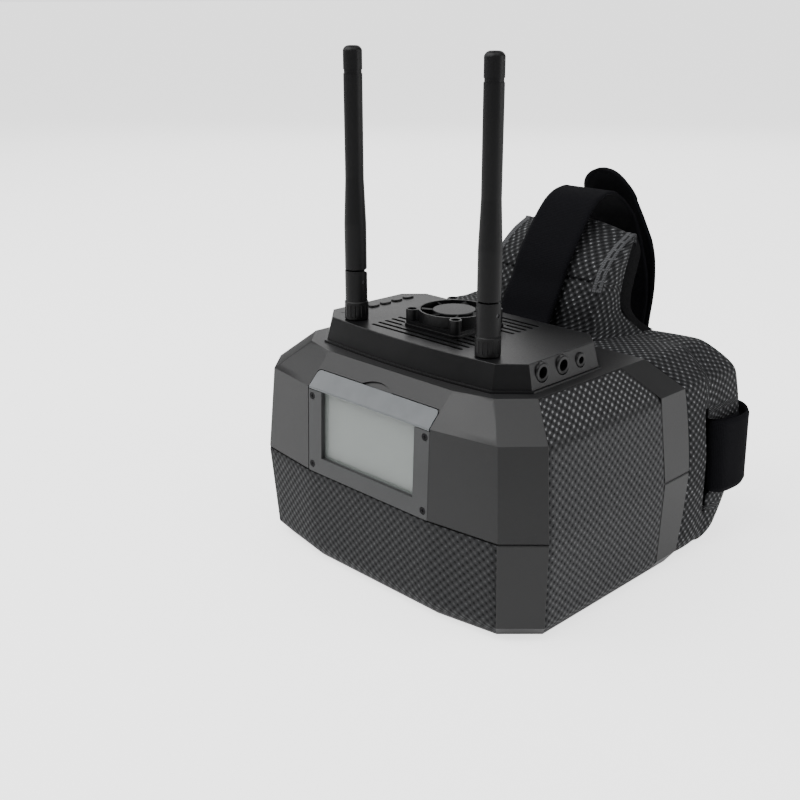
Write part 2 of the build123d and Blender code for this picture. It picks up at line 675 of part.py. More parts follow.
def elbow(side):
    """Swivelling barrel: a spigot in the nut and a fork at the top, closed in front and open behind."""
    x, y = side * ANT_X, at(ANT_D)
    with BuildPart(mode=Mode.PRIVATE) as barrel:
        with Locations((x, y, NUT_TOP - 2.4)):
            Cylinder(3.45, 3.0, align=(Align.CENTER, Align.CENTER, Align.MIN))
        with Locations((x, y, NUT_TOP + 0.1)):
            height = HINGE_Z + ELBOW_R - NUT_TOP - 0.1
            Cylinder(ELBOW_R, height, align=(Align.CENTER, Align.CENTER, Align.MIN))
        # round the fork's ears about the hinge behind, and leave its front full height
        with BuildSketch(Plane.YZ.offset(x)):
            with Locations((y, HINGE_Z)):
                Circle(ELBOW_R)
            with Locations((y, (NUT_TOP - 2.4 + HINGE_Z) / 2)):
                Rectangle(2 * ELBOW_R, HINGE_Z - NUT_TOP + 2.4)
            with Locations((y - ELBOW_R / 2, HINGE_Z + ELBOW_R / 2)):
                Rectangle(ELBOW_R, ELBOW_R)
        extrude(amount=ELBOW_R, both=True, mode=Mode.INTERSECT)
        with Locations((x, y + 6, HINGE_Z - 4.8)):
            Box(4.4, 12, 20, align=(Align.CENTER, Align.CENTER, Align.MIN), mode=Mode.SUBTRACT)
        with Locations(Location((x, y, HINGE_Z), (0, 90, 0))):
            Cylinder(4.35, 4.4, mode=Mode.SUBTRACT)
            Cylinder(1.05, 20, mode=Mode.SUBTRACT)
        with Locations((x, y, HINGE_Z)):
            Box(4.4, 8.7, 20, align=(Align.CENTER, Align.CENTER, Align.MIN), mode=Mode.SUBTRACT)
    return barrel.part


def hinge_pin(side):
    """Blackened pin across the fork."""
    with BuildPart(mode=Mode.PRIVATE) as pin:
        with Locations(Location((side * ANT_X, at(ANT_D), HINGE_Z), (0, 90, 0))):
            Cylinder(1.0, 10.2)
    return pin.part


def whip(side):
    """Moulded aerial: thick foot, tapered stem, a groove and a domed tip, tongue below for the hinge."""
    x, y = side * ANT_X, at(ANT_D)
    taper_low, taper_high, groove = 168.7, 190.8, 238.9
    with BuildPart(mode=Mode.PRIVATE) as rod:
        with BuildSketch(Plane.XZ.offset(-y)):
            with BuildLine():
                Polyline(
                    (x, WHIP_BASE), (x + WHIP_R - 0.4, WHIP_BASE), (x + WHIP_R, WHIP_BASE + 0.4),
                    (x + WHIP_R, taper_low), (x + WHIP_TIP_R, taper_high), (x + WHIP_TIP_R, groove),
                    (x + WHIP_TIP_R - 0.3, groove), (x + WHIP_TIP_R - 0.3, groove + 1.8),
                    (x + WHIP_TIP_R, groove + 1.8), (x + WHIP_TIP_R, WHIP_TOP - 2.2),
                )
                ThreePointArc(
                    (x + WHIP_TIP_R, WHIP_TOP - 2.2), (x + WHIP_TIP_R - 0.9, WHIP_TOP - 0.7),
                    (x + WHIP_TIP_R - 2.4, WHIP_TOP),
                )
                Polyline((x + WHIP_TIP_R - 2.4, WHIP_TOP), (x, WHIP_TOP), (x, WHIP_BASE))
            make_face()
        revolve(axis=Axis((x, y, 0), (0, 0, 1)))
        with BuildSketch(Plane.YZ.offset(x)):
            with Locations((y, HINGE_Z)):
                Circle(4.0)
            with Locations((y, HINGE_Z + 3.5)):
                Rectangle(8.0, 7.0)
        extrude(amount=2.0, both=True)
        with Locations(Location((x, y, HINGE_Z), (0, 90, 0))):
            Cylinder(1.05, 20, mode=Mode.SUBTRACT)
    return rod.part


with BuildPart() as connector_right:
    add(connector(1))
with BuildPart() as connector_left:
    add(connector(-1))
with BuildPart() as antenna_nut_right:
    add(nut(1))
with BuildPart() as antenna_nut_left:
    add(nut(-1))
with BuildPart() as antenna_elbow_right:
    add(elbow(1))
with BuildPart() as antenna_elbow_left:
    add(elbow(-1))
with BuildPart() as antenna_pin_right:
    add(hinge_pin(1))
with BuildPart() as antenna_pin_left:
    add(hinge_pin(-1))
with BuildPart() as antenna_whip_right:
    add(whip(1))
with BuildPart() as antenna_whip_left:
    add(whip(-1))

# ---------------------------------------------------------------- face mask and forehead tongue


def mask_outline(depth, inset):
    """The mask's section seen from behind, with the body's own slanted shoulders."""
    with BuildSketch(Plane.XZ.offset(-at(depth))) as section:
        with BuildLine():
            Polyline(
                (74.2, MASK_TOP), (89.2, 94), (92.3, 52), (90.6, 8), (86, 1.5),
                (-86, 1.5), (-90.6, 8), (-92.3, 52), (-89.2, 94), (-74.2, MASK_TOP), close=True,
            )
        make_face()
        if inset:
            offset(amount=-inset, kind=Kind.INTERSECTION, mode=Mode.REPLACE)
    return section.sketch


def behind_face(shift):
    """All that lies behind the face contour, moved back by shift.

    The contour bulges at the cheeks in the side view and is hollowed for forehead and nose in plan.
    """
    with BuildPart(mode=Mode.PRIVATE) as rest:
        with BuildSketch(Plane.YZ):
            with BuildLine():
                Polyline((at(160 + shift), 120), (at(164 + shift), MASK_TOP), (at(173 + shift), 97))
                ThreePointArc((at(173 + shift), 97), (at(181 + shift), 62), (at(160 + shift), 7))
                Polyline((at(160 + shift), 7), (at(155 + shift), -5), (at(260), -5), (at(260), 120),
                         (at(160 + shift), 120))
            make_face()
        extrude(amount=120, both=True)
        with BuildSketch(Plane.XY.offset(-5)):
            with BuildLine():
                ThreePointArc((-96, at(188 + shift)), (0, at(156 + shift)), (96, at(188 + shift)))
                Polyline((96, at(188 + shift)), (96, at(260)), (-96, at(260)), (-96, at(188 + shift)))
            make_face()
        extrude(amount=130)
    return rest.part


def before_face(shift):
    """All that lies in front of the face contour."""
    with BuildPart(mode=Mode.PRIVATE) as rest:
        with Locations((0, at(150), 55)):
            Box(230, 180, 130)
        add(behind_face(shift), mode=Mode.SUBTRACT)
    return rest.part


MASK_WALL = 13.0
with BuildPart() as face_mask:
    extrude(mask_outline(105, 0), amount=85, dir=(0, 1, 0))
    add(beyond_rear(0.4, 60), mode=Mode.SUBTRACT)
    add(behind_face(0), mode=Mode.SUBTRACT)
    extrude(mask_outline(100, MASK_WALL), amount=100, dir=(0, 1, 0), mode=Mode.SUBTRACT)
    # strap slits
    with Locations((-90, at(154.3), 49.7), (90, at(154.3), 49.7)):
        Box(9, 10.4, 56.5, mode=Mode.SUBTRACT)
    # nose notch
    with Locations((0, at(172), 0)):
        Cylinder(30, 40, mode=Mode.SUBTRACT)

with BuildPart() as face_cushion:
    # foam ring laid on the mask's rear edge
    extrude(mask_outline(105, 4.0), amount=95, dir=(0, 1, 0))
    extrude(mask_outline(100, MASK_WALL - 0.5), amount=100, dir=(0, 1, 0), mode=Mode.SUBTRACT)
    add(behind_face(6), mode=Mode.SUBTRACT)
    add(before_face(0.3), mode=Mode.SUBTRACT)
    with Locations((0, at(172), 0)):
        Cylinder(30, 40, mode=Mode.SUBTRACT)

with BuildPart() as forehead_tongue:
    with BuildSketch(Plane.YZ):
        with BuildLine():
            Polyline((at(121), DECK.z + 0.3), (at(123), 124), (at(128.2), 137))
            Spline((at(128.2), 137), (at(134), 145), (at(143.5), 152.4), (at(153.4), 157.1))
            ThreePointArc((at(153.4), 157.1), (at(157.6), 156.4), (at(157.4), 152.4))
            Spline(
                (at(157.4), 152.4), (at(149.6), 136), (at(147.1), 125),
                (at(148.6), 115), (at(150.5), DECK.z + 0.3),
            )
            Line((at(150.5), DECK.z + 0.3), (at(121), DECK.z + 0.3))
        make_face()
    extrude(amount=37, both=True)
    # apron lying on the deck behind the housing
    with BuildSketch(Plane.XY.offset(DECK.z + 0.3)):
        with BuildLine():
            Polyline(
                (54, at(101.5)), (66, at(107.5)), (73.5, at(115)), (70, at(148)), (-70, at(148)),
                (-73.5, at(115)), (-66, at(107.5)), (-54, at(101.5)), close=True,
            )
        make_face()
    extrude(amount=1.6)

# ---------------------------------------------------------------- straps


def strap(plane, half, points, thickness):
    """A flat band of even thickness following points, half wide each way across plane."""
    with BuildPart(mode=Mode.PRIVATE) as band:
        with BuildSketch(plane):
            with BuildLine() as path:
                Spline(*points)
            trace(path.line, line_width=thickness)
        extrude(amount=half, both=True)
    return band.part


with BuildPart() as strap_top:
    add(
        strap(
            Plane.YZ,
            TOP_STRAP_HALF,
            [(at(d), z) for d, z in (
                (110.5, 111.5), (113.6, 115.7), (122.9, 133.4), (129, 145.5), (137, 157.5), (146, 167.6),
                (156, 174.9), (164, 175.6), (171.5, 172), (179, 166), (184.8, 159.4), (190.4, 148), (195.2, 137.5),
                (198.9, 127), (200.8, 115), (200.2, 103), (197.4, 88), (194.8, 68), (194.0, 40), (194.6, 28.6),
                (197.3, 26.2), (200.0, 28.6),
            )],
            STRAP_T,
        )
    )

with BuildPart() as strap_top_tail:
    add(
        strap(
            Plane.YZ,
            TOP_STRAP_HALF,
            [(at(d), z) for d, z in (
                (200.4, 29.6), (200.6, 45), (201.6, 72), (204.4, 96), (206.7, 110), (207.1, 122),
                (205.6, 134.5), (201.8, 144.3), (196.4, 152.2), (190.6, 160.6), (186.2, 166.8), (182.2, 172.8),
                (178.8, 178.9), (176.2, 185.4),
            )],
            STRAP_T,
        )
    )
    # rounded free end
    with BuildSketch(Plane.XZ.offset(-at(165))):
        with Locations((0, 178.6)):
            Rectangle(40, 20)
        with Locations((0, 168.6)):
            Circle(TOP_STRAP_HALF, mode=Mode.SUBTRACT)
    extrude(amount=-25, mode=Mode.SUBTRACT)


def plan_strap(points, thickness):
    """A band standing on edge, following points seen from above."""
    with BuildPart(mode=Mode.PRIVATE) as band:
        with BuildSketch(Plane.XY.offset(BAND_LOW)):
            with BuildLine() as path:
                Spline(*points)
            trace(path.line, line_width=thickness)
        extrude(amount=BAND_HIGH - BAND_LOW)
    return band.part


BAND_RIGHT = (
    (89.5, 155.6), (92.6, 156.0), (95.6, 159.2), (96.7, 165), (97.0, 173.5), (95.4, 181.4),
    (91.0, 187.2), (83.5, 190.8), (66, 194.2), (40, 196.6),
)
with BuildPart() as head_band:
    add(
        plan_strap(
            [(x, at(d)) for x, d in BAND_RIGHT]
            + [(0, at(197.2))]
            + [(-x, at(d)) for x, d in reversed(BAND_RIGHT)],
            BAND_T,
        )
    )

SIDE_LAYER = ((89.5, 158.1), (91.8, 158.5), (93.4, 161.3), (94.1, 166.6), (94.2, 172), (93.2, 177.2))
with BuildPart() as strap_side_right:
    add(plan_strap([(x, at(d)) for x, d in SIDE_LAYER], 1.4))
with BuildPart() as strap_side_left:
    add(plan_strap([(-x, at(d)) for x, d in SIDE_LAYER], 1.4))

# ---------------------------------------------------------------- export

NODES = {
    "shell_upper": shell_upper,
    "shell_lower": shell_lower,
    "shell_screws": shell_screws,
    "bezel_front": bezel_front,
    "bezel_screws": bezel_screws,
    "cover_window": cover_window,
    "panel_frosted": panel_frosted,
    "window_frame": window_frame,
    "fabric_front": fabric_front,
    "fabric_side_right": fabric_side_right,
    "fabric_side_left": fabric_side_left,
    "lcd_panel": lcd_panel,
    "lens_frame": lens_frame,
    "lens": lens,
    "housing_top": housing_top,
    "fan_pad": fan_pad,
    "fan_frame": fan_frame,
    "fan_rotor": fan_rotor,
    "fan_screws": fan_screws,
    "button_1": button_1,
    "button_2": button_2,
    "button_3": button_3,
    "button_4": button_4,
    "led_lens": led_lens,
    "socket_front": socket_front,
    "socket_middle": socket_middle,
    "socket_rear": socket_rear,
    "main_board": main_board,
    "connector_right": connector_right,
    "connector_left": connector_left,
    "antenna_nut_right": antenna_nut_right,
    "antenna_nut_left": antenna_nut_left,
    "antenna_elbow_right": antenna_elbow_right,
    "antenna_elbow_left": antenna_elbow_left,
    "antenna_pin_right": antenna_pin_right,
    "antenna_pin_left": antenna_pin_left,
    "antenna_whip_right": antenna_whip_right,
    "antenna_whip_left": antenna_whip_left,
    "face_mask": face_mask,
    "face_cushion": face_cushion,
    "forehead_tongue": forehead_tongue,
    "strap_top": strap_top,
    "strap_top_tail": strap_top_tail,
    "head_band": head_band,
    "strap_side_right": strap_side_right,
    "strap_side_left": strap_side_left,
}

for node, builder in NODES.items():
    builder.part.label = node
    export_step(builder.part, f"parts/{node}.step")
    box = builder.part.bounding_box()
    print(f"{node:22s} solids {len(builder.part.solids())} volume {builder.part.volume:9.0f}", end=" ")
    print(" ".join(f"{v:7.1f}" for v in (*box.min, *box.max)))
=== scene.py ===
"""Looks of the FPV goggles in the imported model's frame: camera, lights, materials and soft pieces.

Metres, as the frame is. Depths "d" are measured back from the front face, as the design states them,
and lengths marked with mm() are millimetres.
"""

import json
from functools import cache
from math import cos, exp, log, pi, radians, sin, sqrt

import bmesh
import bpy
from mathutils import Euler, Matrix, Vector


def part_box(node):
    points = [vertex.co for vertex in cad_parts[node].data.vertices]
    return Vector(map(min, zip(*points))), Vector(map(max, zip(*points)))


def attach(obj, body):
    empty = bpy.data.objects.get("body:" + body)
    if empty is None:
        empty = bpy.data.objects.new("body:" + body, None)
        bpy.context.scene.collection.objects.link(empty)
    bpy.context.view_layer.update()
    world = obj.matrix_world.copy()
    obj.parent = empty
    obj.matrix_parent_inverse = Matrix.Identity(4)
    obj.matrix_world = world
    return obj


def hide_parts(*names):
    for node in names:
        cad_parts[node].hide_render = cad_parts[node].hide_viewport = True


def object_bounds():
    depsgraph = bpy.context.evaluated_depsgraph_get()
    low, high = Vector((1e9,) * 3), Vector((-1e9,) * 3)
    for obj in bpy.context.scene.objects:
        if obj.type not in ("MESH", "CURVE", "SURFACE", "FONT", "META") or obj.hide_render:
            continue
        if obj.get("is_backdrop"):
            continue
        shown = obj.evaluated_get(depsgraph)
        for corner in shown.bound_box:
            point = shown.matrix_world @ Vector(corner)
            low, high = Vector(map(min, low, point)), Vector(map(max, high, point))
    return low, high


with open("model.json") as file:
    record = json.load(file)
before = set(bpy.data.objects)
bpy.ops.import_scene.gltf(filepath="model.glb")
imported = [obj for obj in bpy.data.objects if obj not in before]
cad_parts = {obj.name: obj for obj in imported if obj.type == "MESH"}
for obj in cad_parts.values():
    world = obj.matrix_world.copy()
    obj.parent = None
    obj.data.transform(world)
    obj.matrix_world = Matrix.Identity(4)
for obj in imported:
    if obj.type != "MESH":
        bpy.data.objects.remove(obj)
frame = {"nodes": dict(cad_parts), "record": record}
NODES = frame["nodes"]
CAD_LOW, CAD_HIGH = (Vector(c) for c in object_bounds())
FRONT_Y = CAD_LOW.y


def mm(*values):
    """Millimetres as metres: one number, or a tuple of them."""
    return values[0] * 0.001 if len(values) == 1 else tuple(v * 0.001 for v in values)


def spot(x, d, z):
    """A point from its x, its depth behind the front face and its height, in millimetres."""
    return Vector((mm(x), FRONT_Y + mm(d), mm(z)))


# ---------------------------------------------------------------- camera and lights

CAMERA_PLACE = (0.3622, -0.4293, 0.2713)
CAMERA_PITCH, CAMERA_AZIMUTH, CAMERA_ROLL = 19.66, 46.08, -0.2
CAMERA_LENS, CAMERA_SENSOR = 50.5, 36.0
# Strength of the plain sky as it lights the object, and as the camera sees it.
SKY_LIGHT, SKY_SEEN = 0.12, 2.2

camera_data = bpy.data.cameras.new("camera")
camera_data.lens = CAMERA_LENS
camera_data.sensor_width = CAMERA_SENSOR
camera_data.clip_start = 0.01
camera = bpy.data.objects.new("camera", camera_data)
bpy.context.scene.collection.objects.link(camera)
turn = Euler((radians(90 - CAMERA_PITCH), 0, radians(CAMERA_AZIMUTH)), "XYZ").to_matrix().to_4x4()
roll = Matrix.Rotation(radians(CAMERA_ROLL), 4, "Z")
camera.matrix_world = Matrix.Translation(CAMERA_PLACE) @ turn @ roll
bpy.context.scene.camera = camera

world = bpy.data.worlds.new("studio")
world.use_nodes = True
sky_nodes, sky_links = world.node_tree.nodes, world.node_tree.links
lighting = sky_nodes["Background"]
lighting.inputs["Color"].default_value = (1.0, 1.0, 1.0, 1.0)
lighting.inputs["Strength"].default_value = SKY_LIGHT
seen = sky_nodes.new("ShaderNodeBackground")
seen.inputs["Strength"].default_value = SKY_SEEN
pick = sky_nodes.new("ShaderNodeMixShader")
ray = sky_nodes.new("ShaderNodeLightPath")
sky_links.new(ray.outputs["Is Camera Ray"], pick.inputs[0])
sky_links.new(lighting.outputs[0], pick.inputs[1])
sky_links.new(seen.outputs[0], pick.inputs[2])
sky_links.new(pick.outputs[0], sky_nodes["World Output"].inputs[0])
bpy.context.scene.world = world


def softbox(name, place, aim, size, watts):
    """A rectangular soft light at place, facing aim."""
    data = bpy.data.lights.new(name, "AREA")
    data.shape = "RECTANGLE"
    data.size, data.size_y = size
    data.energy = watts
    light = bpy.data.objects.new(name, data)
    light.location = place
    light.rotation_euler = (Vector(aim) - Vector(place)).to_track_quat("-Z", "Y").to_euler()
    bpy.context.scene.collection.objects.link(light)


CENTRE = (0.0, 0.0, 0.07)
softbox("backdrop_light", (-1.05, 1.25, 0.95), CENTRE, (2.0, 1.1), 11.0)
softbox("top_light", (-0.25, -0.8, 1.3), CENTRE, (1.1, 0.9), 17.0)
softbox("left_light", (-1.0, -0.5, 1.0), CENTRE, (1.0, 1.0), 8.0)
softbox("overhead_light", (0.45, -0.05, 1.3), CENTRE, (1.0, 1.0), 8.0)
softbox("side_light", (1.3, 0.95, 0.6), CENTRE, (0.8, 0.8), 11.0)

# ---------------------------------------------------------------- materials


class Surface:
    """A node material under construction. Each call adds one node and returns its output socket."""

    def __init__(self, name):
        self.material = bpy.data.materials.new(name)
        self.material.use_nodes = True
        self.tree = self.material.node_tree
        self.shader = self.tree.nodes["Principled BSDF"]
        self.where = self.tree.nodes.new("ShaderNodeTexCoord")

    def put(self, socket, value):
        """Links a socket, or sets a plain value."""
        if isinstance(value, bpy.types.NodeSocket):
            self.tree.links.new(value, socket)
        elif hasattr(value, "__len__") and len(value) == 3 and len(socket.default_value) == 4:
            socket.default_value = (*value, 1.0)
        else:
            socket.default_value = value

    def set(self, **values):
        """Sets shader inputs, with underscores for spaces."""
        for key, value in values.items():
            self.put(self.shader.inputs[key.replace("_", " ")], value)
        return self

    def math(self, operation, a, b=0.0, c=0.0):
        """One Math node."""
        node = self.tree.nodes.new("ShaderNodeMath")
        node.operation = operation
        for socket, value in zip(node.inputs, (a, b, c)):
            self.put(socket, value)
        return node.outputs[0]

    def noise(self, scale, detail=3.0):
        """Noise over the object's own coordinates."""
        node = self.tree.nodes.new("ShaderNodeTexNoise")
        self.put(node.inputs["Vector"], self.where.outputs["Object"])
        node.inputs["Scale"].default_value = scale
        node.inputs["Detail"].default_value = detail
        node.inputs["Roughness"].default_value = 0.5
        return node.outputs["Fac"]

    def cells(self, scale):
        """Distance to the nearest of scattered points, over the object's own coordinates."""
        node = self.tree.nodes.new("ShaderNodeTexVoronoi")
        self.put(node.inputs["Vector"], self.where.outputs["Object"])
        node.inputs["Scale"].default_value = scale
        return node.outputs["Distance"]

    def range(self, value, low, high, to_low, to_high):
        """Value mapped from one range to another, and held at its ends."""
        node = self.tree.nodes.new("ShaderNodeMapRange")
        for socket, item in zip(node.inputs, (value, low, high, to_low, to_high)):
            self.put(socket, item)
        return node.outputs[0]

    def ramp(self, value, stops):
        """Colour ramp of (position, colour) stops."""
        node = self.tree.nodes.new("ShaderNodeValToRGB")
        self.put(node.inputs[0], value)
        ramp = node.color_ramp
        while len(ramp.elements) < len(stops):
            ramp.elements.new(0.5)
        for element, (position, colour) in zip(ramp.elements, stops):
            element.position = position
            element.color = (*colour, 1.0)
        return node.outputs[0]

    def mix(self, factor, a, b):
        """Colour between a and b."""
        node = self.tree.nodes.new("ShaderNodeMix")
        node.data_type = "RGBA"
        self.put(node.inputs[0], factor)
        self.put(node.inputs[6], a)
        self.put(node.inputs[7], b)
        return node.outputs[2]

    def split(self, vector):
        """The three parts of a vector."""
        node = self.tree.nodes.new("ShaderNodeSeparateXYZ")
        self.put(node.inputs[0], vector)
        return node.outputs

    def bump(self, height, distance):
        """Surface relief, distance metres deep."""
        node = self.tree.nodes.new("ShaderNodeBump")
        node.inputs["Distance"].default_value = distance
        node.inputs["Strength"].default_value = 1.0
        self.put(node.inputs["Height"], height)
        self.put(self.shader.inputs["Normal"], node.outputs[0])
        return self


def shade(colour, factor):
    """A colour made darker or lighter."""
    return tuple(min(1.0, c * factor) for c in colour)


def moulded(name, colour, roughness, grain=0.00003, grain_scale=1700, specular=0.36, coat=0.0):
    """Injection-moulded plastic: spark-eroded grain, faint cloudiness and a little dust."""
    s = Surface(name)
    cloud = s.noise(38, 4)
    fine = s.noise(grain_scale, 2)
    dust = s.range(s.noise(900, 1), 0.70, 0.80, 0.0, 0.25)
    base = s.ramp(cloud, [(0.25, shade(colour, 0.86)), (0.75, shade(colour, 1.14))])
    wear = s.math("ADD", fine, s.math("MULTIPLY", cloud, 0.6))
    s.set(
        Base_Color=s.mix(dust, base, shade(colour, 2.2)),
        Roughness=s.range(wear, 0.4, 1.2, roughness - 0.06, roughness + 0.07),
        Specular_IOR_Level=specular,
    )
    if coat:
        s.set(Coat_Weight=coat, Coat_Roughness=0.12)
    return s.bump(fine, grain).material


KNIT_U, KNIT_V = 4.5, 4.4  # stitches along a row, and two rows, in mm


def knit(name, low, mid, high, depth=0.00025, dots=0.0, fold_z=None):
    """Open spacer knit: staggered pinholes between raised stitches, on UVs that are millimetres.

    dots strengthens the painted glints on the stitch tops, whose light colour is a painted highlight over the
    ground. fold_z, in mm, is where the cloth bends: a painted shade band at the bend, and above it a darker
    ground with brighter painted highlights on the stitches, for the light on the slanted facet.
    """
    s = Surface(name)
    u, v, _ = s.split(s.where.outputs["UV"])
    wobble = s.math("MULTIPLY", s.math("SUBTRACT", s.noise(160, 2), 0.5), 1.6)
    across = s.math("SINE", s.math("ADD", s.math("MULTIPLY", u, 2 * pi / KNIT_U), wobble))
    along = s.math("SINE", s.math("ADD", s.math("MULTIPLY", v, 2 * pi / KNIT_V), wobble))
    lattice = s.math("MULTIPLY", across, along)
    yarn = s.math("SUBTRACT", s.noise(1900, 2), 0.5)
    height = s.math("ADD", lattice, s.math("MULTIPLY", yarn, 1.1))
    hole = s.range(height, -0.95, -0.35, 1.0, 0.0)
    # The stitch tops take the third colour, a painted highlight.
    top = s.range(height, 0.40, 0.95, 0.0, 1.0)
    patch = s.range(s.noise(70, 3), 0.3, 0.7, 0.0, 0.3)
    ground = s.mix(patch, mid, shade(mid, 0.6))
    ground = s.mix(s.range(yarn, -0.15, 0.2, 0.0, 0.45), ground, shade(mid, 1.6))
    lit = high
    # Painted shade: a dark band at the bend and a darker ground above it, where the stitches get brighter
    # painted highlights.
    if fold_z is not None:
        z = s.split(s.where.outputs["Object"])[2]
        above = s.range(z, mm(fold_z - 0.5), mm(fold_z + 2.5), 0.0, 1.0)
        bend = s.range(s.math("ABSOLUTE", s.math("SUBTRACT", z, mm(fold_z - 1.2))), 0.0, mm(3.2), 0.62, 0.0)
        ground = s.mix(s.math("MULTIPLY", above, 0.55), ground, low)
        ground = s.mix(bend, ground, low)
        lit = s.mix(above, high, shade(high, 3.4))
    colour = s.mix(hole, s.mix(top, ground, lit), low)
    # Painted glints on the raised stitches, stronger with dots.
    shine = s.math("MULTIPLY", s.noise(420, 1), s.range(height, 0.2, 1.0, 0.0, 1.0))
    painted_glint = s.range(shine, 0.50, 0.62, 0.0, 0.5 + 0.4 * dots)
    s.set(
        Base_Color=s.mix(painted_glint, colour, shade(high, 2.2 + 1.2 * dots)),
        Roughness=s.range(height, -1.0, 1.0, 0.95, 0.50),
        Specular_IOR_Level=0.3,
    )
    return s.bump(height, depth).material


def webbing(name, colour, rib=0.9):
    """Woven elastic: fine cross ribs, softened edges of a brushed face. UVs are mm."""
    s = Surface(name)
    u, v, _ = s.split(s.where.outputs["UV"])
    ribs = s.math("SINE", s.math("MULTIPLY", v, 2 * pi / rib))
    warp = s.math("SINE", s.math("MULTIPLY", u, 2 * pi / (rib * 0.8)))
    nap = s.noise(1800, 3)
    height = s.math("ADD", s.math("MULTIPLY", s.math("ADD", ribs, warp), 0.35), nap)
    level = s.range(height, -0.4, 1.4, 0.0, 1.0)
    s.set(
        Base_Color=s.ramp(level, [(0.1, shade(colour, 0.55)), (0.9, shade(colour, 1.35))]),
        Roughness=0.95,
        Specular_IOR_Level=0.08,
    )
    return s.bump(height, 0.00012).material


def foam(name, colour):
    """Fine open-cell foam with a brushed cover."""
    s = Surface(name)
    pores = s.cells(1500)
    s.set(
        Base_Color=s.ramp(pores, [(0.0, shade(colour, 1.5)), (0.6, shade(colour, 0.6))]),
        Roughness=0.98,
        Specular_IOR_Level=0.08,
    )
    return s.bump(s.math("ADD", pores, s.noise(500, 3)), 0.0002).material


def metal(name, colour, roughness):
    """Machined metal with fine tool marks."""
    s = Surface(name)
    marks = s.noise(2400, 2)
    s.set(
        Base_Color=s.ramp(marks, [(0.3, shade(colour, 0.9)), (0.7, shade(colour, 1.1))]),
        Metallic=1.0,
        Roughness=s.range(marks, 0.3, 0.7, roughness - 0.05, roughness + 0.08),
    )
    return s.bump(marks, 0.00001).material


def cover_plastic(name):
    """Clear acrylic whose bent lip, over the dark body, has a smoky blue-grey colour that is a painted
    reflection.
    """
    s = Surface(name)
    height = s.split(s.where.outputs["Object"])[2]
    lip = s.range(height, mm(92.8), mm(93.4), 0.0, 1.0)
    smear_and_reflection = s.noise(60, 4)
    # Painted reflection: the lip's blue-grey, patchy with the noise, stands in for the sheen of clear acrylic
    # over the dark body.
    painted_gloss = s.ramp(smear_and_reflection, [(0.3, (0.075, 0.084, 0.092)), (0.7, (0.105, 0.115, 0.124))])
    s.set(
        Base_Color=s.mix(lip, (0.36, 0.39, 0.375), painted_gloss),
        Roughness=s.range(smear_and_reflection, 0.3, 0.7, 0.07, 0.12),
        Alpha=s.range(lip, 0.0, 1.0, 0.42, 0.93),
        IOR=1.49,
        Coat_Weight=0.3,
    )
    return s.material


def frosted(name):
    """Milky back panel with a soft vertical fall-off and faint speckle."""
    s = Surface(name)
    place = s.split(s.where.outputs["Object"])
    fall = s.range(place[2], mm(56), mm(94), 0.0, 1.0)
    speckle = s.noise(1400, 2)
    tint = s.ramp(fall, [(0.0, (0.30, 0.325, 0.312)), (1.0, (0.225, 0.25, 0.24))])
    s.set(
        Base_Color=s.mix(s.range(speckle, 0.3, 0.7, 0.0, 0.12), tint, (0.34, 0.36, 0.35)),
        Roughness=0.42,
    )
    return s.bump(speckle, 0.00001).material


LENS_HEIGHT = 53  # of the lens's centre, mm


def lens_glass(name):
    """Clear acrylic lens with faint Fresnel rings cut in it."""
    s = Surface(name)
    x, _, z = s.split(s.where.outputs["Object"])
    drop = s.math("SUBTRACT", z, mm(LENS_HEIGHT))
    radius = s.math("SQRT", s.math("ADD", s.math("MULTIPLY", x, x), s.math("MULTIPLY", drop, drop)))
    rings = s.math("SINE", s.math("MULTIPLY", radius, 2 * pi / mm(0.6)))
    s.set(Base_Color=(0.9, 0.93, 0.95), Roughness=0.04, Alpha=0.22, IOR=1.49)
    return s.bump(rings, 0.00003).material


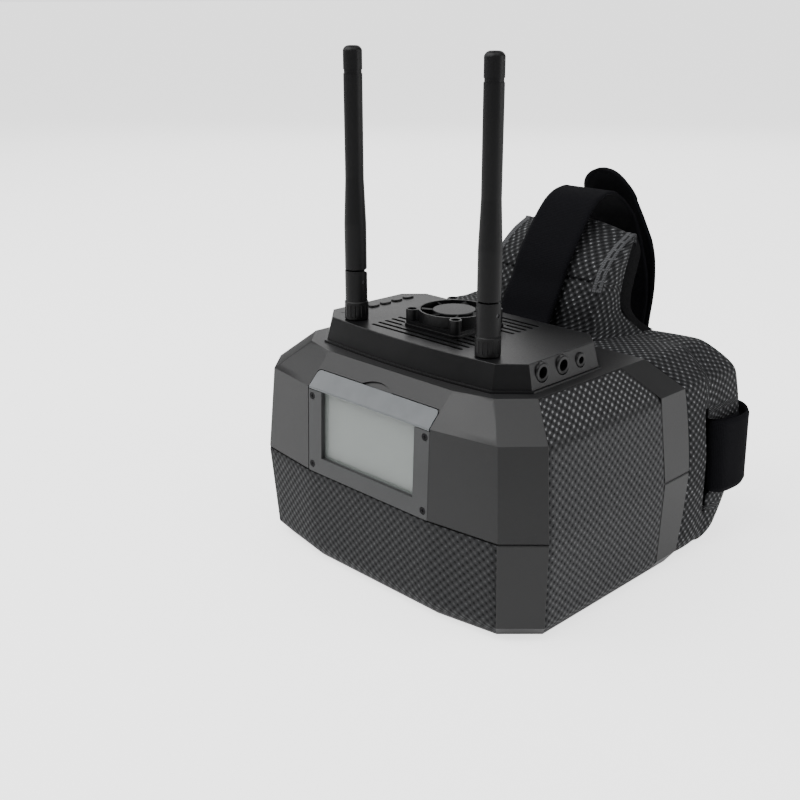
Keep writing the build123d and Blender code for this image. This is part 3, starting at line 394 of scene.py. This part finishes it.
SHELL = (0.0125, 0.0125, 0.013)
HOUSING = (0.0045, 0.0045, 0.005)
MATERIALS = {
    "shell_plastic": moulded("shell_plastic", SHELL, 0.42),
    "housing_plastic": moulded("housing_plastic", HOUSING, 0.36, specular=0.32),
    "bezel_plastic": moulded("bezel_plastic", (0.040, 0.041, 0.042), 0.44),
    "inner_plastic": moulded("inner_plastic", (0.012, 0.012, 0.013), 0.7),
    "fan_plastic": moulded("fan_plastic", (0.0035, 0.0035, 0.004), 0.40, grain_scale=1200, specular=0.3),
    "key_plastic": moulded("key_plastic", (0.010, 0.010, 0.011), 0.38),
    "socket_plastic": moulded("socket_plastic", (0.006, 0.006, 0.0065), 0.35, specular=0.35),
    "antenna_plastic": moulded(
        "antenna_plastic", (0.0030, 0.0030, 0.0034), 0.42, grain=0.00002, specular=0.22
    ),
    "cover_plastic": cover_plastic("cover_plastic"),
    "frosted_plastic": frosted("frosted_plastic"),
    "screen_glass": moulded("screen_glass", (0.008, 0.008, 0.011), 0.08, grain=0.0, coat=1.0),
    "board": moulded("board", (0.012, 0.07, 0.03), 0.35, coat=0.4),
    "gold_metal": metal("gold_metal", (0.78, 0.58, 0.25), 0.25),
    "pin_steel": metal("pin_steel", (0.05, 0.05, 0.052), 0.35),
    "black_screw": metal("black_screw", (0.016, 0.016, 0.017), 0.36),
    "elastic": webbing("elastic", (0.0052, 0.0052, 0.0066)),
    "foam": foam("foam", (0.0050, 0.0050, 0.0056)),
    # Each knit's third colour is the painted highlight on its stitch tops; fold_z adds painted shade at the
    # fold and painted highlights above it.
    "knit": knit(
        "knit", (0.0025, 0.0025, 0.003), (0.028, 0.0285, 0.030), (0.060, 0.061, 0.063), fold_z=93.6
    ),
    "knit_fine": knit("knit_fine", (0.004, 0.004, 0.0045), (0.018, 0.0185, 0.0195), (0.036, 0.037, 0.039)),
    # The same knit drawn darker, with painted shade in its ground and strong painted glints as its dots.
    "mask_fabric": knit(
        "mask_fabric", (0.0015, 0.0015, 0.002), (0.0075, 0.008, 0.009), (0.09, 0.092, 0.096), dots=1.0
    ),
    "seam_yarn": webbing("seam_yarn", (0.085, 0.086, 0.09), rib=1.3),
    "lens_glass": lens_glass("lens_glass"),
}

slot_of = {part["node"]: part["material_slot"] for part in frame["record"]["subparts"]}
for node, obj in NODES.items():
    obj.data.materials.clear()
    obj.data.materials.append(MATERIALS[slot_of[node]])


def soften(node, width):
    """Rounds a CAD piece's edges a little, so that they catch the light as moulded ones do."""
    obj = NODES[node]
    obj.modifiers.new("weld", "WELD").merge_threshold = 1e-6
    flat = obj.modifiers.new("flat", "DECIMATE")
    flat.decimate_type = "DISSOLVE"
    flat.angle_limit = radians(0.6)
    edge = obj.modifiers.new("edge", "BEVEL")
    edge.width = mm(width)
    edge.segments = 3
    edge.limit_method = "ANGLE"
    edge.angle_limit = radians(25)
    obj.modifiers.new("normals", "WEIGHTED_NORMAL").keep_sharp = False


for node, width in (
    ("shell_upper", 0.55), ("shell_lower", 0.55), ("housing_top", 0.35), ("bezel_front", 0.18),
    ("cover_window", 0.3), ("fan_frame", 0.25), ("fan_pad", 0.3),
):
    soften(node, width)

# ---------------------------------------------------------------- mesh helpers

PER_METRE = 1000.0  # millimetres
CORNER_SHARE = 0.45  # the most of a run that one rounded corner takes


def surface_piece(name, rows, material, closed_rows=False, closed_ring=False, second=None, where=None):
    """A mesh from rows of points, with UVs that measure millimetres along and across.

    closed_rows joins each row's end to its start, closed_ring the last row to the first. where(i, j) says
    which faces have the second material.
    """
    count, width = len(rows), len(rows[0])
    vertices = [p for row in rows for p in row]
    faces = []
    uvs = []
    along = [[0.0] * (width + 1) for _ in range(count + 1)]
    across = [[0.0] * (width + 1) for _ in range(count + 1)]
    for i in range(count + 1):
        for j in range(width + 1):
            here = rows[i % count][j % width]
            if j:
                along[i][j] = along[i][j - 1] + (here - rows[i % count][j - 1]).length * PER_METRE
            if i:
                across[i][j] = across[i - 1][j] + (here - rows[i - 1][j % width]).length * PER_METRE
    for i in range(count if closed_ring else count - 1):
        for j in range(width if closed_rows else width - 1):
            i2, j2 = (i + 1) % count, (j + 1) % width
            faces.append((i * width + j, i * width + j2, i2 * width + j2, i2 * width + j))
            for a, b in ((i, j), (i, j + 1), (i + 1, j + 1), (i + 1, j)):
                uvs.append((along[a][b], across[a][b]))
    mesh = bpy.data.meshes.new(name)
    mesh.from_pydata(vertices, [], faces)
    layer = mesh.uv_layers.new(name="uv_mm")
    for loop, uv in zip(layer.data, uvs):
        loop.uv = uv
    mesh.polygons.foreach_set("use_smooth", [True] * len(mesh.polygons))
    mesh.materials.append(MATERIALS[material])
    if second:
        mesh.materials.append(MATERIALS[second])
        wide = width if closed_rows else width - 1
        for k, polygon in enumerate(mesh.polygons):
            polygon.material_index = int(where(k // wide, k % wide))
    obj = bpy.data.objects.new(name, mesh)
    bpy.context.scene.collection.objects.link(obj)
    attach(obj, "main")
    return obj


def face_outwards(obj):
    """Makes the normals of a closed mesh point out."""
    work = bmesh.new()
    work.from_mesh(obj.data)
    bmesh.ops.recalc_face_normals(work, faces=work.faces)
    work.to_mesh(obj.data)
    work.free()
    return obj


def smooth_path(points, per_span=8):
    """Catmull-Rom curve through points."""
    result = []
    for i in range(len(points) - 1):
        p1, p2 = points[i], points[i + 1]
        p0 = points[i - 1] if i else p1 * 2 - p2
        p3 = points[i + 2] if i + 2 < len(points) else p2 * 2 - p1
        for k in range(per_span):
            t = k / per_span
            square, cube = 2 * p0 - 5 * p1 + 4 * p2 - p3, 3 * p1 - p0 - 3 * p2 + p3
            result.append(0.5 * (2 * p1 + (p2 - p0) * t + square * t * t + cube * t**3))
    result.append(points[-1].copy())
    return result


def rounded(points, radius, pieces, closed=False, bend=5):
    """A polyline with its corners rounded and each straight run divided into pieces.

    pieces is one count, or one per run.
    """
    n = len(points)
    runs = n if closed else n - 1
    pieces = pieces if hasattr(pieces, "__len__") else [pieces] * runs
    result = []
    corners = []
    for i, p in enumerate(points):
        if not closed and i in (0, n - 1):
            corners.append((p, p, p))
            continue
        before, after = points[i - 1], points[(i + 1) % n]
        cut = min(radius, (before - p).length * CORNER_SHARE, (after - p).length * CORNER_SHARE)
        corners.append((p + (before - p).normalized() * cut, p, p + (after - p).normalized() * cut))
    for i in range(runs):
        start, corner, end = corners[i]
        if (start - end).length > 1e-9:
            for k in range(bend):
                t = k / bend
                result.append(start * (1 - t) ** 2 + corner * 2 * t * (1 - t) + end * t * t)
        result.extend(end.lerp(corners[(i + 1) % n][0], k / pieces[i]) for k in range(pieces[i]))
    if not closed:
        result.append(points[-1].copy())
    return result


def bulge(t, power=0.35):
    """0 at both ends of 0..1, 1 between, rising quickly."""
    return max(0.0, 4 * t * (1 - t)) ** power


# ---------------------------------------------------------------- knitted panels

EDGE_TUCK = mm(0.9)
SKIN_BULGE = mm(0.35)
KNIT_THICKNESS = mm(0.8)
SIDE_WIDTH, FRONT_HEIGHT = mm(92), mm(48)

# Half widths and depths of the body's folds at each height: the centre panel's kink, the angled panel's
# end, the corner post's rear edge and the straight side's slant inwards per millimetre of depth.
KINK_X = 41.5
PANEL_LEVELS = [  # z, centre depth, end x, end depth, post x, post depth, rear depth, side slant
    (2.4, 6.1, 74.3, 11.6, 89.2, 26.7, 112.0, 0.0134),
    (7.0, 2.5, 77.0, 8.0, 92.4, 23.2, 112.0, 0.0120),
    (50.0, 0.0, 78.8, 5.0, 94.8, 20.6, 111.5, 0.0193),
    (94.0, 1.5, 75.3, 7.3, 90.3, 22.9, 107.5, 0.0068),
    (108.0, 15.1, 62.0, 20.5, 75.2, 34.2, 95.5, 0.0057),
]


def side_panel(name, sign):
    """Knit over one side, wrapping softly round the two folds, its edges tucked into the body."""
    fronts, rears = [], []
    for z, _, _, _, post_x, post_d, rear_d, slant in PANEL_LEVELS:
        fronts.append(spot(sign * (post_x - 0.15), post_d + 0.5, z))
        rears.append(spot(sign * (post_x - 0.15 - slant * (rear_d - post_d)), rear_d, z))
    fronts = rounded(fronts, mm(5), [2, 9, 9, 4])
    rears = rounded(rears, mm(5), [2, 9, 9, 4])
    steps = 26
    rows = []
    for i, (a, b) in enumerate(zip(fronts, rears)):
        rise = bulge(i / (len(fronts) - 1))
        row = []
        for k in range(steps + 1):
            stand_out = sign * SKIN_BULGE * rise * bulge(k / steps)
            row.append(a.lerp(b, k / steps) + Vector((stand_out, 0, 0)))
        tucked = Vector((-sign * EDGE_TUCK, 0, 0))
        rows.append([row[0] + tucked, *row, row[-1] + tucked])
    under = [p + Vector((-sign * EDGE_TUCK, 0, 0)) for p in rows[0]]
    over = [p + Vector((-sign * EDGE_TUCK, 0, -EDGE_TUCK * 0.5)) for p in rows[-1]]
    return surface_piece(f"{name}_knit", [under, *rows, over], "knit")


def knit_sheet(obj, width, length, node):
    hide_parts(node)
    solid = obj.modifiers.new("thickness", "SOLIDIFY")
    solid.thickness = KNIT_THICKNESS
    solid.offset = -1.0


def mesh_area(obj):
    """Area in square metres of a piece's own mesh."""
    return sum(p.area for p in obj.data.polygons)


for side, sign in (("right", 1), ("left", -1)):
    panel = side_panel(f"fabric_side_{side}", sign)
    if sign < 0:
        panel.data.flip_normals()
    knit_sheet(panel, SIDE_WIDTH, mesh_area(panel) / SIDE_WIDTH, f"fabric_side_{side}")


def front_panel():
    """Knit over the three lower front panels, as columns from left to right."""
    columns = []
    for z, centre_d, end_x, end_d, *_ in PANEL_LEVELS[:3]:
        z = min(z, 49.6)
        plan = ((-end_x, end_d), (-KINK_X, centre_d), (KINK_X, centre_d), (end_x, end_d))
        kinks = [spot(x, d + 0.05, z) for x, d in plan]
        columns.append(rounded(kinks, mm(3), [8, 16, 8]))
    height = [rounded(list(line), mm(4), [2, 10]) for line in zip(*columns)]
    rows = []
    for i, line in enumerate(zip(*height)):
        rise = bulge(i / (len(height[0]) - 1))
        row = []
        for k, p in enumerate(line):
            stand_out = SKIN_BULGE * rise * bulge(k / (len(line) - 1))
            row.append(p + Vector((0, -stand_out, 0)))
        tucked = Vector((0, EDGE_TUCK, 0))
        rows.append([row[0] + tucked, *row, row[-1] + tucked])
    under = [p + Vector((0, EDGE_TUCK, 0)) for p in rows[0]]
    over = [p + Vector((0, EDGE_TUCK, 0)) for p in rows[-1]]
    return surface_piece("fabric_front_knit", [under, *rows, over], "knit_fine")


panel = front_panel()
knit_sheet(panel, mesh_area(panel) / FRONT_HEIGHT, FRONT_HEIGHT, "fabric_front")

# ---------------------------------------------------------------- face mask

MASK_OUTLINE = [(0, 1.5), (86, 1.5), (90.6, 8), (92.3, 52), (89.2, 94), (74.2, 108), (0, 108)]
MASK_WALL = 13.0
MASK_CORNER = 4.0
MASK_RUNS = [3, 12, 12, 6, 40, 6, 12, 12, 3, 44]  # pieces of each straight run of the closed outline


def front_depth(z):
    """Depth of the mask's front edge at a height: it follows the body's rear outline."""
    if z >= 94:
        return 128.6 - (z - 94) * 13.0 / 14.5
    if z > 52:
        return 133.6 - 5.0 * ((z - 52) / 42) ** 2
    return 133.6 - 3.6 * ((52 - z) / 45) ** 2


def rear_depth(x, z):
    """Depth of the face contour: full at the cheeks, drawn in at forehead, chin and nose."""
    drawn_in = 19.0 * ((64 - z) / 57) ** 2.2 if z < 64 else 15.0 * ((z - 64) / 44) ** 2.4
    side = 181.5 - drawn_in
    plan = 316.0 - sqrt(160.0**2 - x * x)
    blend = 3.0
    return -blend * log(exp(-side / blend) + exp(-plan / blend))


@cache
def mask_stations():
    """Points and inward directions round the mask's outline, seen from behind."""
    right = [Vector((x, z, 0)) for x, z in MASK_OUTLINE]
    outline = right[1:-1] + [Vector((-p.x, p.y, 0)) for p in reversed(right[1:-1])]
    loop = rounded(outline, MASK_CORNER, MASK_RUNS, closed=True)
    stations = []
    for i, p in enumerate(loop):
        tangent = (loop[(i + 1) % len(loop)] - loop[i - 1]).normalized()
        inward = Vector((-tangent.y, tangent.x, 0))
        if inward.dot(Vector((0, 54, 0)) - p) < 0:
            inward = -inward
        stations.append((p, inward))
    return stations


def ring_piece(name, profile, material, second=None, where=None):
    """A ring round the face opening. profile(x, z) gives (depth, inset) pairs for one station."""
    rows = []
    for p, inward in mask_stations():
        row = []
        for depth, inset in profile(p.x, p.y):
            q = p + inward * inset
            row.append(spot(q.x, depth, q.y))
        rows.append(row)
    ring = surface_piece(name, rows, material, closed_rows=True, closed_ring=True, second=second, where=where)
    return face_outwards(ring)


SLIT_LOW, SLIT_HIGH = 22.0, 78.0
POCKET_FACES, FIRST_INNER_FACE = (9, 10, 11), 28  # of the mask's section


def slit_edges(x, z):
    """Front and rear depth of the strap slit at a height, and whether a station at (x, z) lies on it.

    It leans with the cheek, gapes where the band comes out and is nearly closed above and below.
    """
    on_slit = abs(x) > 88 and SLIT_LOW < z < SLIT_HIGH
    z = min(max(z, SLIT_LOW), SLIT_HIGH)
    front = 152.0 - (z - 22) * 0.073
    gape = 10.0 if 31 < z < 73 else 2.6
    return front, front + gape, on_slit


def mask_profile(x, z):
    """Section of the mask: front roll, side with its slit, rear roll and inner wall."""
    front, rear = front_depth(z), rear_depth(x, z)
    lip_front, lip_rear, slit = slit_edges(x, z)
    pocket = 9.0 if slit else 0.0
    outer = [(front + 0.3, 5.0), (front, 1.4), (front + 0.3, 0.4), (front + 1.2, 0.0)]
    for k in range(1, 5):
        outer.append((front + 1.2 + (lip_front - 0.6 - front - 1.2) * k / 5, -0.5 * sin(pi * k / 5)))
    lip = 0.5 if slit else 0.0
    outer += [
        (lip_front - 1.0, -lip * 0.6), (lip_front - 0.1, lip), (lip_front + 0.1, pocket),
        (lip_rear - 0.1, pocket), (lip_rear + 0.1, lip), (lip_rear + 1.0, -lip * 0.6),
    ]
    bend = 2.6
    rear += 0.8 + 2.0 * exp(-(((z - 99) / 7) ** 2))
    round_start = max(rear - bend, lip_rear + 2.0)
    for k in range(1, 5):
        outer.append((lip_rear + 1.0 + (round_start - lip_rear - 1.0) * k / 5, -0.5 * sin(pi * k / 5)))
    for k in range(7):
        turn = pi / 2 * k / 6
        outer.append((round_start + (rear - round_start) * sin(turn), bend - bend * cos(turn)))
    outer += [(rear - 0.2, 8.0), (rear - 1.2, 11.2), (rear - 4.0, MASK_WALL)]
    inner = [(rear - 4.0 - (rear - 4.0 - front - 2.0) * k / 4, MASK_WALL) for k in range(1, 4)]
    return outer + inner + [(front + 0.3, MASK_WALL - 0.4)]


def in_pocket(i, j):
    """Faces inside the slits and on the inner wall."""
    p = mask_stations()[i][0]
    return j >= FIRST_INNER_FACE or (j in POCKET_FACES and slit_edges(p.x, p.y)[2])


mask = ring_piece("face_mask_cover", mask_profile, "mask_fabric", "foam", in_pocket)
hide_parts("face_mask")


def cushion_profile(x, z):
    """Section of the foam ring: a soft bead behind the mask's rear roll."""
    rear = rear_depth(x, z)
    return [
        (rear - 3.0, 4.4), (rear + 1.6, 4.0), (rear + 4.0, 4.9), (rear + 5.6, 6.8), (rear + 6.0, 8.8),
        (rear + 5.4, 10.8), (rear + 3.6, 12.3), (rear + 0.6, 12.9), (rear - 4.0, 12.8), (rear - 3.5, 8.5),
    ]


cushion = ring_piece("face_cushion_foam", cushion_profile, "foam")
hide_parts("face_cushion")

# ---------------------------------------------------------------- forehead tongue

# Depth and height of the knit's front face, of its rear edge and of the foam backing's rear.
TONGUE_FRONT = [
    (121.6, 108.6), (122.4, 114), (123.6, 123.8), (126.3, 131), (129.0, 137.5), (134.1, 145),
    (143.5, 152.4), (153.4, 157.1),
]
TONGUE_REAR = [
    (153.5, 107.8), (150.6, 113.5), (147.6, 121), (147.0, 127), (148.4, 133.5), (150.6, 140),
    (153.0, 146), (155.4, 152.4),
]
TONGUE_BACK = [
    (163.5, 108.4), (159.5, 112.5), (157.2, 119), (157.6, 127), (160.0, 134), (163.0, 142),
    (164.2, 148), (160.5, 154.6),
]
TONGUE_HALF = 35.0
CREASE_Z = 135.6
SIDE_COLUMNS, SEAM_COLUMNS, FACE_COLUMNS = 6, 6, 24
FIRST_SEAM_ROW = 25


def tongue_rows():
    """Rows from the deck up: left side, seam, face, seam, right side."""
    front = smooth_path([Vector((d, z, 0)) for d, z in TONGUE_FRONT], 8)
    rear = smooth_path([Vector((d, z, 0)) for d, z in TONGUE_REAR], 8)
    rows = []
    for i, (f, r) in enumerate(zip(front, rear)):
        t = i / (len(front) - 1)
        low = max(0.0, 1 - (f.y - 108) / 15.0)
        half = TONGUE_HALF - 1.2 * t + 3.0 * low**2
        flare = 9.0 * low**2
        crown, peak = 2.4 * (1 - 0.5 * t), 4.6 * t**3
        crease = 1.7 * exp(-(((f.y - CREASE_Z) / 1.0) ** 2))
        bead = 0.95 if f.y > CREASE_Z else 0.95 - 0.65 * min(1.0, (CREASE_Z - f.y) / 9.0)
        side = []
        for k in range(SIDE_COLUMNS):
            s = k / SIDE_COLUMNS
            q = r.lerp(f, s * 0.93)
            side.append((half + 1.6 + flare * (1 - s) ** 1.5 + 1.0 * sin(pi * s), q.x, q.y))
        ridge = [
            (half + 1.5, f.x + 3.0, f.y), (half + 1.5 + bead, f.x + 2.0, f.y), (half + 1.1, f.x + 0.9, f.y),
            (half + 0.2, f.x + 0.1, f.y + 0.1), (half - 0.8, f.x - bead * 0.9, f.y + bead * 0.5),
            (half - 1.9, f.x - 0.1, f.y),
        ]
        face = []
        for k in range(FACE_COLUMNS + 1):
            s = -1 + 2 * k / FACE_COLUMNS
            lift = crown * (1 - s * s)
            face.append((s * (half - 2.6), f.x - lift + crease, f.y + peak * (1 - s * s)))
        row = [spot(-x, d, z) for x, d, z in side + ridge]
        row += [spot(x, d, z) for x, d, z in face]
        row += [spot(x, d, z) for x, d, z in reversed(side + ridge)]
        rows.append(row)
    top, back_y = rows[-1], spot(0, 158.0, 0).y
    for way, rise in ((0.3, 0.9), (0.65, 0.6), (1.0, -2.0)):
        rows.append([Vector((p.x, p.y + (back_y - p.y) * way, p.z + mm(rise))) for p in top])
    return rows


def in_seam(i, j):
    """Faces of the two raised beads on each ridge, above the crease."""
    first = SIDE_COLUMNS
    last = SIDE_COLUMNS + SEAM_COLUMNS
    other = 2 * (SIDE_COLUMNS + SEAM_COLUMNS) + FACE_COLUMNS - 1
    place = j if j < last else other - j
    return i >= FIRST_SEAM_ROW and place in (first, first + 1, first + 3, first + 4)


tongue = surface_piece(
    "forehead_tongue_cover", tongue_rows(), "mask_fabric", second="seam_yarn", where=in_seam
)
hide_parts("forehead_tongue")


def tongue_pad_rows():
    """Foam backing between the knit's rear edge and the forehead."""
    near = smooth_path([Vector((d - 0.6, z, 0)) for d, z in TONGUE_REAR], 6)
    far = smooth_path([Vector((d, z, 0)) for d, z in TONGUE_BACK], 6)
    rows = []
    for i, (n, b) in enumerate(zip(near, far)):
        t = i / (len(near) - 1)
        low = max(0.0, 1 - (n.y - 108) / 15.0)
        half = TONGUE_HALF + 1.8 - 1.2 * t + 3.0 * low**2
        flare = 7.0 * low**2
        peak = 4.2 * t**3
        row = [spot(-half - flare, n.x, n.y)]
        for k in range(17):
            s = -1 + 2 * k / 16
            reach = 0.86 + 0.14 * (1 - s**6)
            depth, height = n.x + (b.x - n.x) * reach, n.y + (b.y - n.y) * reach
            row.append(spot(s * (half + flare), depth, height + peak * (1 - s * s)))
        row.append(spot(half + flare, n.x, n.y))
        rows.append(row)
    last = rows[-1]
    rows.append([Vector((p.x, p.y - mm(3), p.z + mm(1.2))) for p in last])
    rows.append([Vector((p.x * 0.97, p.y - mm(6), p.z - mm(0.5))) for p in last])
    return rows


pad = surface_piece("forehead_tongue_foam", tongue_pad_rows(), "foam")

# ---------------------------------------------------------------- straps


def strap_piece(name, path, wide, half, thickness, rounded_end=0.0, patch=None):
    """Woven band along path. wide(t) is the direction of its width, t running 0 to 1.

    A rounded end narrows over rounded_end. patch is the (first, last) share of the length that carries a
    second layer.
    """
    rows = []
    lengths = [0.0]
    for a, b in zip(path, path[1:]):
        lengths.append(lengths[-1] + (b - a).length)
    total = lengths[-1]
    sections = 16
    for i, p in enumerate(path):
        ahead = (path[min(i + 1, len(path) - 1)] - path[max(i - 1, 0)]).normalized()
        width = wide(lengths[i] / total)
        out = ahead.cross(width).normalized()
        left = total - lengths[i]
        reach = half
        if rounded_end and left < rounded_end:
            reach = half * sqrt(max(0.0, 1 - (1 - left / rounded_end) ** 2)) + mm(0.4)
        wave = mm(0.22) * sin(lengths[i] / mm(17)) + mm(0.12) * sin(lengths[i] / mm(6.3))
        thick = thickness
        if patch and patch[0] < lengths[i] / total < patch[1]:
            thick += mm(0.9)
        row = []
        for face in (1, -1):
            for k in range(1, sections):
                s = face * (-1 + 2 * k / sections)
                bead = 1.18 if 0.84 < abs(s) < 0.96 else 1.0
                edge = sqrt(max(0.0, 1 - abs(s) ** 16))
                row.append(p + width * (reach + wave) * s + out * face * thick / 2 * edge * bead)
            row.append(p + width * (reach + wave) * face)
        rows.append(row)
    obj = surface_piece(name, rows, "elastic", closed_rows=True)
    work = bmesh.new()
    work.from_mesh(obj.data)
    work.verts.ensure_lookup_table()
    count = len(rows[0])
    for start in (0, (len(rows) - 1) * count):
        work.faces.new([work.verts[start + k] for k in range(count)])
    bmesh.ops.recalc_face_normals(work, faces=work.faces)
    work.to_mesh(obj.data)
    work.free()
    obj.data.polygons.foreach_set("use_smooth", [True] * len(obj.data.polygons))
    return obj, total


def webbing_sheet(obj, node, length, width, held, *rests):
    """Hides the node's CAD strap, which the woven band takes the place of."""
    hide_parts(node)


def across(t):
    """Level, from side to side."""
    return Vector((1, 0, 0))


def leaning(t):
    """Upwards, leaning forward near the slits."""
    away = min(t, 1 - t)
    return Vector((0, -0.10 * exp(-((away / 0.14) ** 2)), 1)).normalized()


# Depth and height of the top strap, from the tongue's foot over the arch and down round the head band,
# and of its tail, which comes back up outside it. The same routes as the design's.
TOP_STRAP = [
    (110.5, 111.5), (113.6, 115.7), (117.8, 124.9), (122.9, 133.4), (127.8, 144.6), (135.2, 155.9),
    (142.7, 165.7), (149, 171.6), (156, 174.9), (164, 175.6), (171.5, 172), (179, 166), (184.8, 159.4),
    (190.4, 148), (195.2, 137.5), (198.9, 127), (200.8, 115), (200.2, 103), (197.4, 88), (194.8, 68),
    (194.1, 42), (195.0, 29), (197.5, 26.4), (200, 29),
]
TOP_TAIL = [
    (200.2, 31), (200.6, 45), (201.6, 72), (204.4, 96), (206.7, 110), (207.1, 122), (205.6, 134.5),
    (201.8, 144.3), (196.4, 152.2), (190.6, 160.6), (186.2, 166.8), (182.2, 172.8), (178.8, 178.9),
    (176.2, 185.4),
]
TOP_HALF, STRAP_T, HOOK_PATCH = mm(17), mm(1.6), (0.66, 1.1)
BAND_T, LAYER_T = mm(1.8), mm(1.4)

path = smooth_path([spot(0, d, z) for d, z in TOP_STRAP], 7)
strap, length = strap_piece("strap_top_web", path, across, TOP_HALF, STRAP_T)
webbing_sheet(strap, "strap_top", length, TOP_HALF * 2, "draped", "forehead_tongue_foam")
path = smooth_path([spot(0, d, z) for d, z in TOP_TAIL], 12)
strap, length = strap_piece("strap_top_tail_web", path, across, TOP_HALF, STRAP_T, TOP_HALF, HOOK_PATCH)
webbing_sheet(strap, "strap_top_tail", length, TOP_HALF * 2, "draped", "strap_top_web")

BAND_LOW, BAND_HIGH = (corner.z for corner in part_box("head_band"))
BAND_Z, BAND_HALF = (BAND_LOW + BAND_HIGH) / 2 * PER_METRE, (BAND_HIGH - BAND_LOW) / 2
# Half width and depth of the head band's right half, and of the layer sewn inside its end.
BAND_RIGHT = [
    (89.5, 155.6), (92.6, 156.0), (95.6, 159.2), (96.7, 165), (97.0, 173.5), (95.4, 181.4), (91.0, 187.2),
    (83.5, 190.8), (66, 194.2), (40, 196.6),
]
LAYER = [(89.5, 158.1), (91.8, 158.5), (93.4, 161.3), (94.1, 166.6), (94.2, 172), (93.2, 177.2)]
band_points = [spot(x, d, BAND_Z) for x, d in BAND_RIGHT] + [spot(0, 197.2, BAND_Z)]
band_points += [spot(-x, d, BAND_Z) for x, d in reversed(BAND_RIGHT)]
strap, length = strap_piece("head_band_web", smooth_path(band_points, 7), leaning, BAND_HALF, BAND_T)
webbing_sheet(strap, "head_band", length, BAND_HALF * 2, "stretched", "face_mask_cover")
for side, sign in (("right", 1), ("left", -1)):
    path = smooth_path([spot(sign * x, d, BAND_Z) for x, d in LAYER], 6)
    strap, length = strap_piece(f"strap_side_{side}_web", path, lambda t: leaning(0.0), BAND_HALF, LAYER_T)
    webbing_sheet(strap, f"strap_side_{side}", length, BAND_HALF * 2, "stretched", "face_mask_cover")

# ---------------------------------------------------------------- floor

FLOOR_REACH = 200.0  # far enough for its edge to lie on the horizon
FLOOR_LIGHT, FLOOR_SEEN = 0.5, 1.9  # its glow as it lights the object, and as the camera sees it

corners = [(x * FLOOR_REACH, y * FLOOR_REACH, 0) for x, y in ((-1, -1), (1, -1), (1, 1), (-1, 1))]
floor_mesh = bpy.data.meshes.new("floor")
floor_mesh.from_pydata(corners, [], [(0, 1, 2, 3)])
floor = bpy.data.objects.new("floor", floor_mesh)
bpy.context.scene.collection.objects.link(floor)
paper = Surface("paper")
ray_kind = paper.tree.nodes.new("ShaderNodeLightPath")
paper.set(
    Base_Color=paper.ramp(paper.noise(3, 2), [(0.3, (0.84, 0.84, 0.84)), (0.7, (0.86, 0.86, 0.86))]),
    Roughness=0.9,
    Emission_Color=(1.0, 1.0, 1.0),
    Emission_Strength=paper.range(ray_kind.outputs["Is Camera Ray"], 0.0, 1.0, FLOOR_LIGHT, FLOOR_SEEN),
)
floor_mesh.materials.append(paper.material)
floor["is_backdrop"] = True
